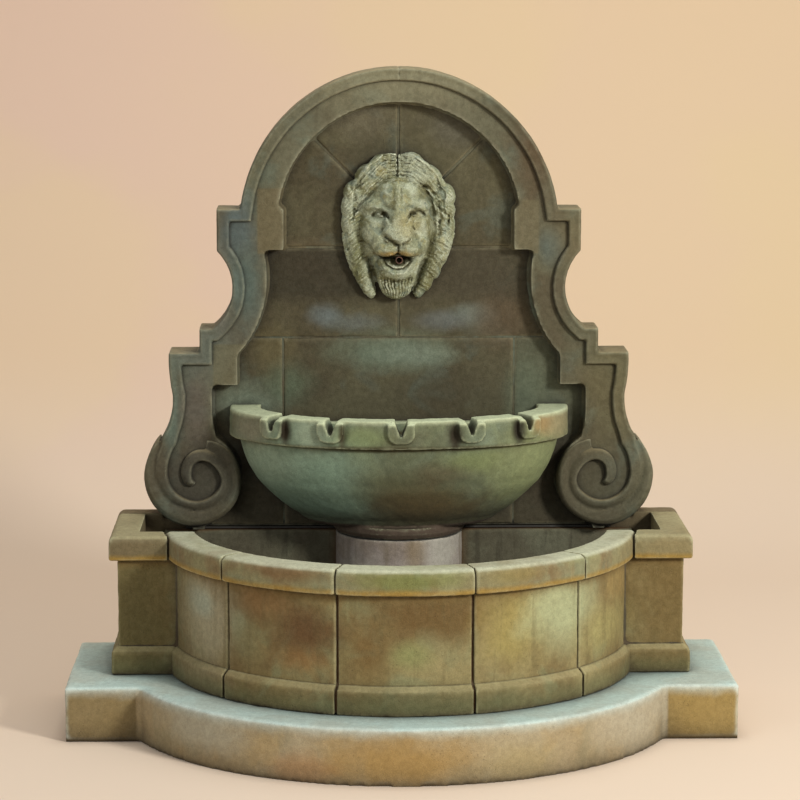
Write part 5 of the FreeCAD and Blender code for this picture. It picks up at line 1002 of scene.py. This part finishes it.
def makeField():
    look, stones = fieldLook, []
    gap, centre, diagonal = look["joint"], look["archCentre"], math.sqrt(0.5)
    foot, lower, middle = panelLook["foot"] + look["footGap"], look["lower"], look["middle"]
    outer, half, mid = look["footHalf"], look["lowerJoint"], look["middleHalf"]
    for left, right, low, high in ((-outer, -half, foot, lower), (-half, half, foot, lower),
                                   (half, outer, foot, lower), (-mid, 0, lower, middle),
                                   (0, mid, lower, middle)):
        front = wallLine - panelLook["fieldFront"] - look["shifts"][len(stones)]
        stones.append(block("fieldStone", (left + gap, front, low + gap),
                            (right - gap, wallLine - look["back"], high - gap)))
    for side in (-1, 1):
        for upper in (False, True):
            front = panelLook["fieldFront"] + look["shifts"][len(stones)]
            deselectAll()
            bpy.ops.mesh.primitive_cylinder_add(
                vertices=128, radius=look["archReach"], depth=front - look["back"],
                location=(0, wallLine - (front + look["back"]) / 2, centre), rotation=(math.pi / 2, 0, 0))
            stone = takeNew("archStone")
            applyPlace()
            # cut at the crown's joint, at the slanting joint and at the joint below
            bisectAway(stone, (side * gap, 0, centre), (-side, 0, 0))
            way = 1 if upper else -1
            bisectAway(stone, (0, 0, centre + way * gap * 2 * diagonal),
                       (way * side * diagonal, 0, -way * diagonal))
            if not upper:
                bisectAway(stone, (0, 0, middle + gap), (0, 0, -1))
            stones.append(stone)
    for stone in stones:
        weather(stone, look["voxel"], look["waves"])
    settle(joinPieces(stones, "fieldStones"), fieldStoneLook, ("back_panel",))


makeField()
print("field made")

# pool: a core that holds the water, faced with separate wall and base stones
poolLook = {"core": 0.0062, "skin": 0.0022, "bow": 0.486, "centre": 0.189, "half": 0.596, "pierDepth": 0.303,
            "foot": 0.116, "mouldTop": 0.176, "wallTop": 0.361, "mould": 0.015, "chamfer": 0.012,
            "facing": 0.014, "lap": 0.004, "joints": (-47.4, -16.2, 16.2, 47.4), "gap": 0.0024,
            "setBack": 0.005, "wallGap": 0.0025, "steps": 16,
            "voxel": 0.0034, "waves": ((0.07, 0.0022), (0.018, 0.0012))}


def poolSection(direction, foot, profile):
    # profile is (out from the wall's face, height); foot is the place on that face.
    return [Vector((foot[0] + direction[0] * out, foot[1] + direction[1] * out, height))
            for out, height in profile]


def bowSections(start, end, profile):
    radius, centre, count = poolLook["bow"], wallLine - poolLook["centre"], poolLook["steps"]
    sections = []
    for number in range(count + 1):
        turn = math.radians(start + (end - start) * number / count)
        direction = (math.sin(turn), -math.cos(turn))
        face = (radius * direction[0], centre + radius * direction[1])
        sections.append(poolSection(direction, face, profile))
    return sections


def makePoolCore():
    look = poolLook
    core = copyOfNode("pool_basin", "poolCore")
    skinOver(core, look["core"], 1)
    drawIn(core, look["skin"])
    # its outer side is set further back behind the stones, so the joints are deep
    spots, centre = readSpots(core), wallLine - look["centre"]
    reach = numpy.hypot(spots[:, 0], spots[:, 1] - centre)
    outer = (spots[:, 1] < wallLine - look["pierDepth"] - 0.006) & (reach > look["bow"] - 0.025)
    inward = 1 - look["setBack"] * outer / reach
    spots[:, 0] *= inward
    spots[:, 1] = centre + (spots[:, 1] - centre) * inward
    writeSpots(core, spots)
    settle(core, poolDark, ("pool_basin",))


def makePoolStones():
    look = poolLook
    back, out, top, crown = -look["facing"], look["mould"], look["mouldTop"], look["wallTop"]
    wallProfile = ((back, top - look["lap"]), (0, top - look["lap"]), (0, crown), (back, crown))
    mouldProfile = ((back, look["foot"]), (out, look["foot"]), (out, top - look["chamfer"]),
                    (out - look["chamfer"], top), (back, top))
    meet = math.acos((look["pierDepth"] - look["centre"]) / look["bow"])  # where the bow meets the piers
    seams = (-math.degrees(meet),) + look["joints"] + (math.degrees(meet),)
    gap = math.degrees(look["gap"] / look["bow"])
    front, inner = wallLine - look["pierDepth"], look["bow"] * math.sin(meet) - look["lap"]
    for profile, family in ((wallProfile, "wallStone"), (mouldProfile, "baseStone")):
        stones = [loftPiece(family, bowSections(start + gap, end - gap, profile))
                  for start, end in zip(seams, seams[1:])]
        for side in (-1, 1):
            # pier: from the bow's end along the front, round the corner and back to the wall
            path = (((side * inner, front), (0, -1)), ((side * look["half"], front), (side, -1)),
                    ((side * look["half"], wallLine - look["wallGap"]), (side, 0)))
            sections = [poolSection(direction, foot, profile) for foot, direction in path]
            stones.append(loftPiece(family, sections))
        for stone in stones:
            weather(stone, look["voxel"], look["waves"])
        settle(joinPieces(stones, family + "s"), poolStone, ("pool_basin",))


makePoolCore()
makePoolStones()
print("pool made")

# bowl: the cast shell, drawn in towards the foot, with hollows worn beside the spouting notches
bowlLook = {"voxel": 0.0034, "waves": ((0.08, 0.0024), (0.02, 0.0014)),
            "setback": 0.080, "half": 0.366, "reach": 0.235,
            # how far the side is drawn in or let out at each height, as a share of its reach
            "shape": ((0.395, 0), (0.42, -0.085), (0.443, -0.09), (0.4706, -0.064), (0.498, -0.022),
                      (0.526, -0.002), (0.56, 0), (0.592, 0)),
            "hollows": (-0.243, -0.122, 0.112, 0.247), "hollowHeight": 0.625, "hollowWidth": 0.0095,
            "hollowTall": 0.026, "hollowDepth": 0.010}


def makeBowl():
    look = bowlLook
    piece = copyOfNode("bowl", "bowlShell")
    weather(piece, look["voxel"], look["waves"])
    spots = readSpots(piece)
    x, y, z = spots.T
    heights = numpy.linspace(look["shape"][0][0], look["shape"][-1][0], 80)
    factor = 1 + numpy.interp(z, heights, [smoothAlong(look["shape"], height) for height in heights])
    centre = wallLine - look["setback"]
    onBand = (z > look["shape"][-1][0]) & (y < centre)
    up = (z - look["hollowHeight"]) / look["hollowTall"]
    hollow = sum(numpy.exp(-((x - place) / look["hollowWidth"]) ** 2 - up ** 2) for place in look["hollows"])
    outside = numpy.clip((numpy.hypot(x / look["half"], (centre - y) / look["reach"]) - 0.93) / 0.04, 0, 1)
    spots[:, 0] = x * factor
    spots[:, 1] = centre - (centre - y) * factor + look["hollowDepth"] * hollow * onBand * outside
    writeSpots(piece, spots)
    settle(piece, bowlStone, ("bowl",))


makeBowl()
print("bowl made")

# floor, light and camera
stageLook = {"floor": (223, 204, 182), "back": ((219, 191, 169), (221, 196, 162)), "haze": (222, 199, 158),
             "tintHalf": 1.1, "tintHeight": 0.5, "width": 24, "front": -12, "depth": 3.4, "bend": 1.8,
             "bendSteps": 12, "wallHeight": 6}


def backdropMaterial():
    look = stageLook
    material, shader = newMaterial("paleBackdrop")
    height, across = along("Z"), along("X")
    tint = blend(ranged(across, -look["tintHalf"], look["tintHalf"]), *look["back"])
    tint = blend(ranged(noise(0.9, 3), 0.46, 0.62, 0, 0.5), tint, look["haze"])
    link(blend(ranged(height, 0.0, look["tintHeight"]), look["floor"], tint), shader, "Base Color")
    shader.inputs["Roughness"].default_value = 0.9
    # the camera sees through the back of the backdrop, so the fountain can be looked at from behind
    behind = addNode("NewGeometry").outputs["Backfacing"]
    seen = addNode("LightPath").outputs["Is Camera Ray"]
    clear = addNode("BsdfTransparent").outputs[0]
    mix = addNode("MixShader", {0: times(behind, seen), 1: shader.outputs[0], 2: clear})
    link(mix.outputs[0], paint["tree"].nodes["Material Output"], "Surface")
    return material


def makeBackdrop():
    look = stageLook
    deselectAll()
    bpy.ops.mesh.primitive_plane_add(size=1, location=(0, 0, 0))
    floor = takeNew("paleFloor")
    bpy.ops.object.mode_set(mode="EDIT")
    mesh = bmesh.from_edit_mesh(floor.data)
    for vertex in mesh.verts:
        vertex.co.x *= look["width"]
        vertex.co.y = look["depth"] - look["bend"] if vertex.co.y > 0 else look["front"]
        vertex.select = vertex.co.y > 0
    mesh.select_flush_mode()
    for step in range(look["bendSteps"]):
        turn = math.radians(90 * (step + 1) / look["bendSteps"])
        bpy.ops.mesh.extrude_region_move()
        for vertex in bmesh.from_edit_mesh(floor.data).verts:
            if vertex.select:
                vertex.co.y = look["depth"] - look["bend"] * (1 - math.sin(turn))
                vertex.co.z = look["bend"] * (1 - math.cos(turn))
    bpy.ops.mesh.extrude_region_move(TRANSFORM_OT_translate={"value": (0, 0, look["wallHeight"])})
    bpy.ops.object.mode_set(mode="OBJECT")
    floor.data.materials.append(backdropMaterial())
    bpy.ops.object.shade_smooth()


makeBackdrop()

lampAim = Vector((0, 0.1, 0.6))
lampLooks = {
    "keyLamp": {"place": (3.7, -3.9, 2.9), "size": 1.0, "power": 262, "tint": (1.0, 0.985, 0.955)},
    "fillLamp": {"place": (-3.6, -4.0, 2.2), "size": 3.0, "power": 34, "tint": (0.97, 0.985, 1.0)},
    "topLamp": {"place": (0.2, 0.6, 4.4), "size": 2.5, "power": 60, "tint": (1.0, 0.99, 0.98)},
}
for lampName, look in lampLooks.items():
    bpy.ops.object.light_add(type="AREA", location=look["place"])
    lamp = bpy.context.object
    lamp.name = lampName
    lamp.data.shape = "DISK"
    lamp.data.size = look["size"]
    lamp.data.energy = look["power"]
    lamp.data.color = look["tint"]
    lamp.rotation_euler = (lampAim - Vector(look["place"])).to_track_quat("-Z", "Y").to_euler()

skyLook = {"tone": (238, 240, 242), "strength": 0.5}
world = bpy.data.worlds.new("studio")
bpy.context.scene.world = world
world.use_nodes = True
world.node_tree.nodes["Background"].inputs["Color"].default_value = linear(*skyLook["tone"])
world.node_tree.nodes["Background"].inputs["Strength"].default_value = skyLook["strength"]

viewLook = {"place": (-0.1415, -6.2025, 1.6244), "yaw": 0.0221, "pitch": 0.1461, "lens": 137.01, "sensor": 36}
bpy.ops.object.camera_add(location=viewLook["place"],
                          rotation=(math.pi / 2 - viewLook["pitch"], 0, -viewLook["yaw"]))
camera = bpy.context.object
camera.name = "photoCamera"
camera.data.lens = viewLook["lens"]
camera.data.sensor_width = viewLook["sensor"]
bpy.context.scene.camera = camera
bpy.context.scene.view_settings.view_transform = "Standard"
print("stage set")
